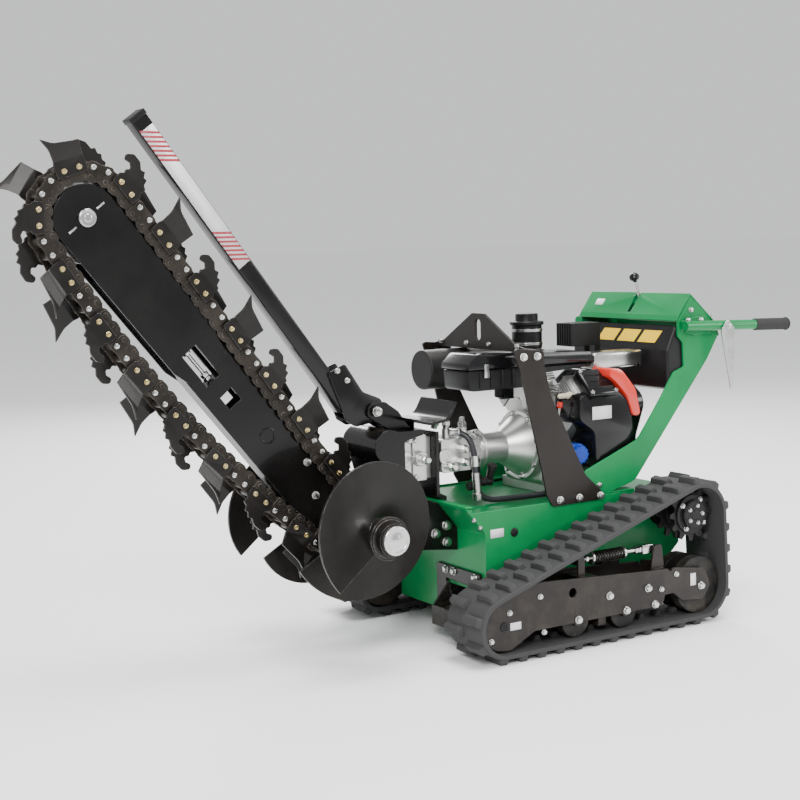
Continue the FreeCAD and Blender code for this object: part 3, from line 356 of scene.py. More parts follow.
# ------------------------------------------------------------------ shader groups
class Tree:
    """A node tree that is being wired."""

    def __init__(self, tree: bpy.types.NodeTree) -> None:
        """Takes the tree to add nodes to."""
        self.tree = tree

    def add(self, kind: str, values: Mapping[str | int, object] | None = None,
            **settings: object) -> bpy.types.Node:
        """Adds a node.

        Args:
            kind: node type without its ShaderNode prefix.
            values: input sockets and what goes in: a constant, or a socket to link from.
            settings: the node's own properties.

        Returns:
            The node.
        """
        name = kind if kind.startswith("NodeGroup") else "ShaderNode" + kind
        node = self.tree.nodes.new(name)
        for key, value in settings.items():
            setattr(node, key, value)
        for key, value in (values or {}).items():
            if isinstance(value, bpy.types.NodeSocket):
                self.tree.links.new(value, node.inputs[key])
            else:
                node.inputs[key].default_value = value
        return node

    def math(self, operation: str, a: object, b: object = 0.0, clamp: bool = False) -> bpy.types.NodeSocket:
        """Result of a maths node on two values or sockets."""
        return self.add("Math", {0: a, 1: b}, operation=operation, use_clamp=clamp).outputs[0]

    def blend(self, share: object, a: object, b: object) -> bpy.types.NodeSocket:
        """Colour between a and b by a share."""
        node = self.add("Mix", {"Factor": share}, data_type="RGBA")
        for socket, value in ((node.inputs[6], a), (node.inputs[7], b)):
            if isinstance(value, bpy.types.NodeSocket):
                self.tree.links.new(value, socket)
            else:
                socket.default_value = (*value, 1.0)
        return node.outputs[2]

    def remap(self, value: object, low: float, high: float, out_low: float = 0.0,
              out_high: float = 1.0) -> bpy.types.NodeSocket:
        """Value moved from one range to another, clamped and smoothed."""
        return self.add("MapRange", {"Value": value, "From Min": low, "From Max": high, "To Min": out_low,
                                     "To Max": out_high}, interpolation_type="SMOOTHSTEP").outputs[0]


@dataclass(frozen=True)
class ShaderGroup:
    """A shared effect: a node group with named float inputs and its own wiring."""

    name: str
    inputs: Mapping[str, float]
    outputs: Mapping[str, str]
    wire: Callable[[Tree, bpy.types.Node, bpy.types.Node], None]

    def tree(self) -> bpy.types.NodeTree:
        """The group's tree, built the first time it is asked for."""
        made = bpy.data.node_groups.get(self.name)
        if made:
            return made
        made = bpy.data.node_groups.new(self.name, "ShaderNodeTree")
        for label, start in self.inputs.items():
            socket = made.interface.new_socket(name=label, in_out="INPUT", socket_type="NodeSocketFloat")
            socket.default_value = start
        for label, kind in self.outputs.items():
            made.interface.new_socket(name=label, in_out="OUTPUT", socket_type=kind)
        tree = Tree(made)
        self.wire(tree, tree.add("NodeGroupInput"), tree.add("NodeGroupOutput"))
        return made

    def place(self, tree: Tree, values: Mapping[str, float]) -> bpy.types.Node:
        """Adds the group node first, so that its sockets exist, and then sets them."""
        node = tree.add("Group", node_tree=self.tree())
        for key, value in values.items():
            node.inputs[key].default_value = value
        return node


def wire_edge_wear(tree: Tree, given: bpy.types.Node, out: bpy.types.Node) -> None:
    """Mask of rubbed edges, and the surface's normal with its edges rounded."""
    soft = tree.add("Bevel", {"Radius": given.outputs["Radius"]}, samples=4)
    flat = tree.add("NewGeometry")
    agree = tree.add("VectorMath", {0: soft.outputs[0], 1: flat.outputs["Normal"]}, operation="DOT_PRODUCT")
    edge = tree.math("SUBTRACT", 1.0, agree.outputs["Value"])
    coords = tree.add("TexCoord")
    patches = tree.add("TexNoise", {"Vector": coords.outputs["Object"], "Scale": given.outputs["Breakup"],
                                    "Detail": 6.0, "Roughness": 0.65})
    broken = tree.remap(patches.outputs["Fac"], 0.38, 0.62, 0.1, 1.0)
    lifted = tree.math("MULTIPLY", edge, tree.math("MULTIPLY", given.outputs["Amount"], 9.0))
    mask = tree.math("MULTIPLY", lifted, broken, clamp=True)
    tree.tree.links.new(mask, out.inputs["Mask"])
    tree.tree.links.new(soft.outputs[0], out.inputs["Normal"])


def wire_grain(tree: Tree, given: bpy.types.Node, out: bpy.types.Node) -> None:
    """Broad colour drift and fine relief, stretched along X by a share."""
    coords = tree.add("TexCoord")
    stretch = tree.add("CombineXYZ", {0: given.outputs["Stretch"], 1: 1.0, 2: 1.0})
    laid = tree.add("VectorMath", {0: coords.outputs["Object"], 1: stretch.outputs[0]}, operation="MULTIPLY")
    broad = tree.add("TexNoise", {"Vector": laid.outputs[0], "Scale": given.outputs["Broad"], "Detail": 5.0,
                                  "Roughness": 0.6})
    fine = tree.add("TexNoise", {"Vector": laid.outputs[0], "Scale": given.outputs["Fine"], "Detail": 3.0,
                                 "Roughness": 0.55})
    pits = tree.add("TexVoronoi", {"Vector": laid.outputs[0], "Scale": given.outputs["Fine"]})
    rough = tree.math("MULTIPLY", pits.outputs["Distance"], given.outputs["Pits"])
    tree.tree.links.new(tree.remap(broad.outputs["Fac"], 0.3, 0.7), out.inputs["Drift"])
    tree.tree.links.new(tree.math("ADD", fine.outputs["Fac"], rough), out.inputs["Height"])


def wire_dust(tree: Tree, given: bpy.types.Node, out: bpy.types.Node) -> None:
    """Mask of dust that lies on upward faces and of soil that clings low down."""
    shape = tree.add("NewGeometry")
    facing = tree.add("SeparateXYZ", {0: shape.outputs["Normal"]})
    coords = tree.add("TexCoord")
    place = tree.add("SeparateXYZ", {0: coords.outputs["Object"]})
    noise = tree.add("TexNoise", {"Vector": coords.outputs["Object"], "Scale": 14.0, "Detail": 8.0,
                                  "Roughness": 0.7})
    lying = tree.math("MULTIPLY", tree.remap(facing.outputs[2], 0.5, 1.0), given.outputs["Top"])
    low = tree.math("MULTIPLY", tree.remap(place.outputs[2], 0.35, 0.0), given.outputs["Low"])
    patchy = tree.remap(noise.outputs["Fac"], 0.4, 0.68)
    mask = tree.math("MULTIPLY", tree.math("ADD", lying, low), patchy, clamp=True)
    tree.tree.links.new(mask, out.inputs["Mask"])


EDGE_WEAR = ShaderGroup("edge_wear", {"Radius": 0.002, "Amount": 0.5, "Breakup": 60.0},
                        {"Mask": "NodeSocketFloat", "Normal": "NodeSocketVector"}, wire_edge_wear)
GRAIN = ShaderGroup("grain", {"Broad": 6.0, "Fine": 400.0, "Stretch": 1.0, "Pits": 0.0},
                    {"Drift": "NodeSocketFloat", "Height": "NodeSocketFloat"}, wire_grain)
DUST = ShaderGroup("dust", {"Top": 0.3, "Low": 0.3}, {"Mask": "NodeSocketFloat"}, wire_dust)


# ------------------------------------------------------------------ finishes
COAT_ROUGHNESS = 0.04
ROUGHNESS_DRIFT = 0.10
DUST_ROUGHNESS = 0.45


@dataclass(frozen=True)
class Finish:
    """One surface finish: its colours, gloss, relief, rubbed edges and dust."""

    name: str
    colour: Colour
    drift: Colour
    roughness: float
    metallic: float = 0.0
    specular: float = 0.5
    coat: float = 0.0
    relief: float = 0.0
    fine: float = 400.0
    stretch: float = 1.0
    pits: float = 0.0
    wear: float = 0.0
    wear_colour: Colour = (0.42, 0.42, 0.42)
    wear_metallic: float = 0.8
    wear_radius: float = 0.0025
    dust_top: float = 0.25
    dust_low: float = 0.3
    dust_colour: Colour = (0.30, 0.25, 0.19)
    sheen: float = 0.0

    def material(self) -> bpy.types.Material:
        """The finish as a material, built the first time it is asked for."""
        made = bpy.data.materials.get(self.name)
        if made:
            return made
        made = bpy.data.materials.new(self.name)
        made.use_nodes = True
        made.diffuse_color = (*self.colour, 1.0)
        made.node_tree.nodes.clear()
        tree = Tree(made.node_tree)
        self.wire(tree)
        return made

    def wire(self, tree: Tree) -> None:
        """Wires the groups into a Principled surface."""
        grain = GRAIN.place(tree, {"Fine": self.fine, "Stretch": self.stretch, "Pits": self.pits})
        dust = DUST.place(tree, {"Top": self.dust_top, "Low": self.dust_low})
        edges = EDGE_WEAR.place(tree, {"Radius": self.wear_radius, "Amount": self.wear})
        rubbed = edges.outputs["Mask"]
        dusty = dust.outputs["Mask"]
        paint = tree.blend(grain.outputs["Drift"], self.colour, self.drift)
        worn = tree.blend(rubbed, paint, self.wear_colour)
        shade = tree.blend(dusty, worn, self.dust_colour)
        varied = tree.math("MULTIPLY", grain.outputs["Drift"], ROUGHNESS_DRIFT)
        matt = tree.math("ADD", varied, self.roughness - ROUGHNESS_DRIFT / 2)
        matt = tree.math("ADD", matt, tree.math("MULTIPLY", dusty, DUST_ROUGHNESS), clamp=True)
        bump = tree.add("Bump", {"Height": grain.outputs["Height"], "Normal": edges.outputs["Normal"],
                                 "Strength": 1.0, "Distance": self.relief})
        shader = tree.add("BsdfPrincipled", {"Base Color": shade, "Roughness": matt,
                                             "Normal": bump.outputs[0]})
        clean = tree.math("SUBTRACT", 1.0, dusty)
        bare = tree.math("MULTIPLY", rubbed, self.wear_metallic)
        metal = tree.math("MAXIMUM", bare, self.metallic)
        tree.tree.links.new(metal, shader.inputs["Metallic"])
        shader.inputs["Specular IOR Level"].default_value = self.specular
        if self.coat:
            tree.tree.links.new(tree.math("MULTIPLY", clean, self.coat), shader.inputs["Coat Weight"])
            shader.inputs["Coat Roughness"].default_value = COAT_ROUGHNESS
        if self.sheen:
            shader.inputs["Sheen Weight"].default_value = self.sheen
        out = tree.add("OutputMaterial")
        tree.tree.links.new(shader.outputs[0], out.inputs["Surface"])


GREEN = Finish("green_gloss_paint", (0.0002, 0.165, 0.044), (0.0004, 0.200, 0.056), 0.34, coat=0.08,
               relief=0.00005, fine=260.0, wear=0.10, wear_colour=(0.04, 0.34, 0.15), wear_metallic=0.0,
               dust_top=0.02, dust_low=0.05, specular=0.20)
BLACK = Finish("black_gloss_paint", (0.0028, 0.0026, 0.0025), (0.0055, 0.0050, 0.0047), 0.24, coat=0.12,
               relief=0.00005, fine=300.0, wear=0.22, wear_colour=(0.07, 0.07, 0.07), wear_metallic=0.3,
               dust_top=0.05, dust_low=0.08, specular=0.22)
UMBER = Finish("brown_black_satin_paint", (0.0080, 0.0056, 0.0046), (0.0125, 0.0092, 0.0078), 0.34, coat=0.08,
               relief=0.00008, fine=350.0, wear=0.28, wear_colour=(0.12, 0.10, 0.085), wear_metallic=0.4,
               dust_top=0.06, dust_low=0.08, specular=0.25)
TOOTH = Finish("tooth_black_steel", (0.0065, 0.0058, 0.0054), (0.0140, 0.0122, 0.0108), 0.34,
               metallic=0.2, coat=0.06, relief=0.00015, fine=240.0, wear=0.55,
               wear_colour=(0.16, 0.15, 0.14), dust_top=0.04, dust_low=0.08, specular=0.22)
CHAIN = Finish("chain_worn_steel", (0.0110, 0.0095, 0.0082), (0.0340, 0.0280, 0.0225), 0.42, metallic=0.5,
               relief=0.0002, fine=220.0, pits=0.4, wear=0.5, wear_colour=(0.17, 0.15, 0.13),
               wear_metallic=0.9, dust_top=0.06, dust_low=0.08, dust_colour=(0.12, 0.09, 0.065),
               specular=0.25)
ZINC = Finish("zinc_plate", (0.50, 0.50, 0.49), (0.62, 0.62, 0.61), 0.28, metallic=1.0, relief=0.00004,
              fine=500.0, dust_top=0.05, dust_low=0.1)
GOLD = Finish("yellow_zinc_plate", (0.46, 0.36, 0.16), (0.58, 0.48, 0.26), 0.30, metallic=1.0,
              relief=0.00004, fine=500.0, dust_top=0.05, dust_low=0.1)
STEEL = Finish("turned_steel", (0.42, 0.42, 0.41), (0.55, 0.54, 0.53), 0.26, metallic=1.0, relief=0.00003,
               fine=900.0, stretch=0.06, dust_top=0.08, dust_low=0.1)
ALLOY = Finish("cast_alloy", (0.028, 0.028, 0.027), (0.078, 0.077, 0.074), 0.42, metallic=0.6, relief=0.0005,
               fine=420.0, pits=0.7, wear=0.30, wear_colour=(0.36, 0.36, 0.35), dust_top=0.10, dust_low=0.1,
               dust_colour=(0.07, 0.066, 0.060))
SHEET_METAL = Finish("bright_sheet", (0.45, 0.45, 0.44), (0.58, 0.57, 0.56), 0.24, metallic=1.0,
                     relief=0.00006, fine=300.0, dust_top=0.05)
CAST_BLACK = Finish("painted_casting", (0.0060, 0.0060, 0.0062), (0.0140, 0.0135, 0.0130), 0.44,
                    relief=0.0004, fine=380.0, pits=0.6, wear=0.35, wear_colour=(0.12, 0.12, 0.115),
                    dust_top=0.1, dust_low=0.15, specular=0.22)
PLASTIC = Finish("black_moulded_plastic", (0.0060, 0.0060, 0.0064), (0.0110, 0.0110, 0.0114), 0.40,
                 relief=0.00015, fine=900.0, pits=0.5, wear=0.15, wear_colour=(0.05, 0.05, 0.05),
                 wear_metallic=0.0, dust_top=0.05, dust_low=0.1, specular=0.2)
GLOSS_PLASTIC = Finish("black_gloss_cover", (0.0035, 0.0035, 0.0040), (0.0065, 0.0065, 0.0070), 0.18,
                       coat=0.15, relief=0.00004, fine=200.0, dust_top=0.04, dust_low=0.05,
                       specular=0.25)
RED = Finish("red_plastic", (0.130, 0.0004, 0.0016), (0.175, 0.0008, 0.0026), 0.32, coat=0.08,
             relief=0.00006, fine=500.0, wear=0.1, wear_colour=(0.3, 0.02, 0.02), wear_metallic=0.0,
             dust_top=0.02, specular=0.22)
STRIPE = Finish("red_label", (0.30, 0.016, 0.030), (0.34, 0.022, 0.038), 0.40, relief=0.00002, dust_top=0.0,
                dust_low=0.0)
WHITE = Finish("white_label", (0.66, 0.65, 0.66), (0.74, 0.73, 0.74), 0.38, relief=0.00002, dust_top=0.05,
               dust_low=0.05)
YELLOW = Finish("yellow_label", (0.80, 0.50, 0.003), (0.84, 0.56, 0.005), 0.36, relief=0.00002, dust_top=0.0)
CREAM = Finish("cream_rubber", (0.52, 0.46, 0.33), (0.60, 0.54, 0.40), 0.55, relief=0.0001, dust_top=0.1)
BLUE = Finish("blue_gloss_can", (0.001, 0.028, 0.28), (0.002, 0.040, 0.34), 0.26, coat=0.1, relief=0.00004,
              fine=300.0, wear=0.2, wear_colour=(0.12, 0.16, 0.32), dust_top=0.02, specular=0.25)
BELT = Finish("track_rubber", (0.0070, 0.0068, 0.0066), (0.0150, 0.0142, 0.0134), 0.60, relief=0.0005,
              fine=260.0, pits=0.5, wear=0.6, wear_colour=(0.060, 0.056, 0.052), wear_metallic=0.0,
              wear_radius=0.004, dust_top=0.10, dust_low=0.08, dust_colour=(0.07, 0.060, 0.050), sheen=0.03,
              specular=0.15)
GRIP = Finish("grip_rubber", (0.006, 0.006, 0.006), (0.010, 0.010, 0.010), 0.55, relief=0.0003, fine=900.0,
              pits=0.5, dust_top=0.05, sheen=0.05, specular=0.25)
HOSE = Finish("hose_rubber", (0.0050, 0.0050, 0.0055), (0.0090, 0.0090, 0.0095), 0.36, relief=0.0002,
              fine=700.0, dust_top=0.05, specular=0.3)
# Painted shade: a flat near-black finish for thin discs that stand in for the shade inside holes; no hole is
# cut.
PAINTED_HOLE_SHADE = Finish("dark_opening", (0.003, 0.003, 0.003), (0.004, 0.004, 0.004), 0.8, relief=0.00002, dust_top=0.0,
              dust_low=0.0)


# ------------------------------------------------------------------ shapes and pieces
class Shape:
    """A closed solid in millimetres, shaped by bmesh operators before it is stamped on a piece."""

    def __init__(self) -> None:
        """Starts empty."""
        self.bm = bmesh.new()

    @classmethod
    def block(cls, low: Triple, high: Triple, bevel: float = 0.0, segments: int = 2) -> "Shape":
        """Box between two corners, with its edges bevelled."""
        shape = cls()
        bmesh.ops.create_cube(shape.bm, size=1.0)
        size = Vector(high) - Vector(low)
        bmesh.ops.scale(shape.bm, vec=size, verts=shape.bm.verts)
        bmesh.ops.translate(shape.bm, vec=(Vector(low) + Vector(high)) / 2, verts=shape.bm.verts)
        return shape.bevel(bevel, segments)

    @classmethod
    def rod(cls, radius: float, length: float, sides: int = 32, top: float | None = None,
            bevel: float = 0.0) -> "Shape":
        """Round or many-sided bar along +Z from its origin, with another radius at its top if given."""
        shape = cls()
        end = radius if top is None else top
        bmesh.ops.create_cone(shape.bm, cap_ends=True, segments=sides, radius1=radius, radius2=end,
                              depth=length)
        bmesh.ops.translate(shape.bm, vec=(0.0, 0.0, length / 2), verts=shape.bm.verts)
        return shape.bevel(bevel, 2, 50.0)

    @classmethod
    def plate(cls, outline: Sequence[Corner], plane: Plane, low: float, high: float, bevel: float = 0.0,
              steps: int = 4) -> "Shape":
        """Flat plate of an outline, from low to high across its plane."""
        shape = cls()
        corners = [shape.bm.verts.new(plane.lift(p.x, p.y, low)) for p in rounded(outline, steps)]
        face = shape.bm.faces.new(corners)
        grown = bmesh.ops.extrude_face_region(shape.bm, geom=[face])
        moved = [item for item in grown["geom"] if isinstance(item, bmesh.types.BMVert)]
        bmesh.ops.translate(shape.bm, vec=plane.lift(0.0, 0.0, high - low), verts=moved)
        bmesh.ops.recalc_face_normals(shape.bm, faces=shape.bm.faces)
        return shape.bevel(bevel, 2)

    @classmethod
    def turned(cls, profile: Sequence[tuple[float, float]], sides: int = 32, closed: bool = False) -> "Shape":
        """Profile of (radius, z) points spun about +Z, joined end to end when it is a closed ring."""
        shape = cls()
        verts = [shape.bm.verts.new((r, 0.0, z)) for r, z in profile]
        edges = [shape.bm.edges.new(ends) for ends in zip(verts, verts[1:])]
        if closed:
            edges.append(shape.bm.edges.new((verts[-1], verts[0])))
        bmesh.ops.spin(shape.bm, geom=verts + edges, cent=MIDDLE, axis=UP, dvec=MIDDLE, angle=math.tau,
                       steps=sides, use_merge=True, use_duplicate=False)
        bmesh.ops.remove_doubles(shape.bm, verts=shape.bm.verts, dist=0.001)
        bmesh.ops.recalc_face_normals(shape.bm, faces=shape.bm.faces)
        return shape

    @classmethod
    def coil(cls, radius: float, wire: float, pitch: float, turns: float) -> "Shape":
        """Helical spring along +Z with closed ends."""
        shape = cls()
        around, sides = 20, 8
        ring = bmesh.ops.create_circle(shape.bm, cap_ends=False, radius=wire, segments=sides)["verts"]
        upright = Matrix.Rotation(math.pi / 2, 3, "X")
        bmesh.ops.rotate(shape.bm, verts=ring, cent=MIDDLE, matrix=upright)
        bmesh.ops.translate(shape.bm, vec=(radius, 0.0, 0.0), verts=ring)
        start = list(shape.bm.edges)
        steps = int(around * turns)
        bmesh.ops.spin(shape.bm, geom=list(ring) + start, cent=MIDDLE, axis=UP,
                       dvec=(0.0, 0.0, pitch / around), angle=math.tau * turns, steps=steps,
                       use_merge=False, use_duplicate=False)
        bmesh.ops.holes_fill(shape.bm, edges=shape.bm.edges, sides=sides)
        bmesh.ops.recalc_face_normals(shape.bm, faces=shape.bm.faces)
        return shape

    def bevel(self, width: float, segments: int = 2, angle: float = 30.0) -> "Shape":
        """Bevels every edge that is sharper than an angle in degrees."""
        if width <= 0.0:
            return self
        limit = math.radians(angle)
        edges = [e for e in self.bm.edges if len(e.link_faces) == 2 and e.calc_face_angle(0.0) > limit]
        bmesh.ops.bevel(self.bm, geom=edges, offset=width, offset_type="OFFSET", segments=segments,
                        profile=0.5, affect="EDGES", material=-1, clamp_overlap=True)
        return self

    def cut_levels(self, levels: Iterable[float]) -> "Shape":
        """Adds edges across the shape at heights above its origin, so that it can bend there."""
        for level in levels:
            geometry = list(self.bm.verts) + list(self.bm.edges) + list(self.bm.faces)
            bmesh.ops.bisect_plane(self.bm, geom=geometry, plane_co=(0.0, 0.0, level), plane_no=UP,
                                   dist=0.01)
        return self

    def bend(self, move: Callable[[Vector], Vector]) -> "Shape":
        """Moves each corner by a rule."""
        for vert in self.bm.verts:
            vert.co += move(vert.co)
        return self

    def put(self, place: Matrix) -> "Shape":
        """Moves or turns the whole shape."""
        bmesh.ops.transform(self.bm, matrix=place, verts=self.bm.verts)
        return self

    def mesh(self) -> bpy.types.Mesh:
        """The shape as a mesh, which ends the shaping."""
        data = bpy.data.meshes.new("shape")
        self.bm.to_mesh(data)
        self.bm.free()
        return data


class Piece:
    """One named piece, made of stamped shapes that may differ in finish."""

    def __init__(self, name: str, body: str, slot: str, datum: Datum) -> None:
        """Opens the piece.

        Args:
            name: the piece's name.
            body: the CAD body it moves with.
            slot: the record's slot name, which the piece keeps and hands on.
            datum: the machine's datum.
        """
        self.name, self.body, self.slot, self.datum = name, body, slot, datum
        self.bm = bmesh.new()
        self.finishes: list[Finish] = []

    def stamp(self, shape: Shape | bpy.types.Mesh, finish: Finish,
              places: Iterable[Matrix] = (Matrix.Identity(4),)) -> "Piece":
        """Puts copies of a shape on the piece.

        Args:
            shape: the shape, or a mesh kept from one.
            finish: its finish.
            places: where each copy goes in the layout.

        Returns:
            The piece itself.
        """
        if finish not in self.finishes:
            self.finishes.append(finish)
        index = self.finishes.index(finish)
        pattern = shape.mesh() if isinstance(shape, Shape) else shape
        for place in places:
            copy = pattern.copy()
            copy.transform(place)
            if place.determinant() < 0:
                copy.flip_normals()
            copy.polygons.foreach_set("material_index", [index] * len(copy.polygons))
            self.bm.from_mesh(copy)
            bpy.data.meshes.remove(copy)
        return self

    def close(self, replaces: Sequence[str] = ()) -> bpy.types.Object:
        """Args:
            replaces: CAD nodes that it stands for.

        Returns:
            The finished object.
        """
        data = bpy.data.meshes.new(self.name)
        self.bm.to_mesh(data)
        self.bm.free()
        data.transform(self.datum.to_row)
        for finish in self.finishes:
            data.materials.append(finish.material())
        return settle(self.name, data, self.body, self.slot, replaces)


def settle(name: str, data: bpy.types.Mesh, body: str, slot: str,
           replaces: Sequence[str]) -> bpy.types.Object:
    """Args:
        name: the piece's name.
        data: its mesh, in the row frame.
        body: the CAD body it moves with.
        slot: not used.
        replaces: CAD nodes that it stands for.

    Returns:
        The linked object.
    """
    data.shade_smooth()
    data.set_sharp_from_angle(angle=math.radians(CRISP_EDGE))
    piece = bpy.data.objects.new(name, data)
    bpy.context.scene.collection.objects.link(piece)
    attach(piece, body)
    if replaces:
        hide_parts(*replaces)
    log.info("%s: %d faces, rides on %s", name, len(data.polygons), body)
    return piece


SLOT_OF = {sub["node"]: sub["material_slot"] for sub in frame["record"]["subparts"]}
BODY_OF = {node: body for body, nodes in frame["record"]["behaviour"]["bodies"].items() for node in nodes}


def dress(finish: Finish, *nodes: str) -> None:
    """Gives carried-over CAD nodes a finish."""
    for node in nodes:
        data = frame["nodes"][node].data
        data.materials.clear()
        data.materials.append(finish.material())
        log.info("%s keeps its shape, in %s", node, finish.name)


def soften(finish: Finish, *nodes: str, width: float = 1.2) -> None:
    """Stands copies of CAD nodes in for them, merged and with their edges broken.

    Args:
        finish: what the copies are finished in.
        nodes: the nodes.
        width: width of the broken edge, mm.
    """
    for node in nodes:
        bm = bmesh.new()
        bm.from_mesh(frame["nodes"][node].data)
        bmesh.ops.remove_doubles(bm, verts=bm.verts, dist=0.02 * MM)
        bmesh.ops.dissolve_limit(bm, angle_limit=math.radians(0.6), verts=bm.verts, edges=bm.edges)
        data = bpy.data.meshes.new(node + "_shell")
        bm.to_mesh(data)
        bm.free()
        data.materials.append(finish.material())
        piece = settle(node + "_shell", data, BODY_OF[node], SLOT_OF[node], (node,))
        edge = piece.modifiers.new("broken_edges", "BEVEL")
        edge.width = width * MM
        edge.segments = 2
        edge.limit_method = "ANGLE"
        edge.angle_limit = math.radians(BROKEN_EDGE)
        edge.use_clamp_overlap = False
        edge.harden_normals = False


@dataclass(frozen=True)
class Fastener:
    """Hexagon bolt head or nut on a washer, made along +Z from the face it sits on."""

    flats: float = 16.0
    height: float = 8.0
    washer: float = 11.0
    washer_thick: float = 1.8

    def mesh(self) -> bpy.types.Mesh:
        """The head and its washer as one mesh."""
        head = Shape.rod(self.flats / math.sqrt(3.0), self.height, 6, bevel=self.height * 0.14)
        head.put(Matrix.Translation((0.0, 0.0, self.washer_thick)))
        ring = Shape.rod(self.washer, self.washer_thick, 20)
        both = bmesh.new()
        for part in (head.mesh(), ring.mesh()):
            both.from_mesh(part)
            bpy.data.meshes.remove(part)
        joined = Shape()
        joined.bm.free()
        joined.bm = both
        return joined.mesh()


M16 = Fastener(24.0, 10.0, 15.0, 2.4)
M12 = Fastener(18.0, 8.0, 12.0, 2.0)
M8 = Fastener(13.0, 5.5, 8.5, 1.5)
M6 = Fastener(10.0, 4.0, 6.5, 1.2)


@dataclass
class SubAssembly:
    """What every sub-assembly is given: the datum that it is measured from."""

    datum: Datum

    def piece(self, name: str, body: str, slot: str) -> Piece:
        """Opens a piece of this sub-assembly."""
        return Piece(name, body, slot, self.datum)

    def bolts(self, name: str, body: str, slot: str, kind: Fastener, finish: Finish,
              seats: Sequence[tuple[Triple, Triple]]) -> None:
        """Makes one piece of identical bolts, each turned on by a step so that no two look alike.

        Args:
            name: the piece's name.
            body: the CAD body it moves with.
            slot: the record's slot name for the piece.
            kind: the fastener.
            finish: its finish.
            seats: where each bolt sits and which way it faces.
        """
        places = [towards(at, direction, BOLT_TURN * i) for i, (at, direction) in enumerate(seats)]
        self.piece(name, body, slot).stamp(kind.mesh(), finish, places).close()


def bolt_circle(radius: float, count: int, start: float = 0.0) -> list[tuple[float, float]]:
    """Evenly spaced points on a circle, the first at an angle in radians."""
    angles = [math.tau * k / count + start for k in range(count)]
    return [(radius * math.cos(angle), radius * math.sin(angle)) for angle in angles]


def both_sides(seats: Iterable[tuple[Triple, Triple]]) -> list[tuple[Triple, Triple]]:
    """The given seats and their mirror images on the machine's other side."""
    found = []
    for at, direction in seats:
        found.append((at, direction))
        found.append(((at[0], -at[1], at[2]), (direction[0], -direction[1], direction[2])))
    return found


# ------------------------------------------------------------------ boom and chain
class ToothKind(Enum):
    """The two kinds of digging tooth."""

    CUP = "cup"
    CLAW = "claw"


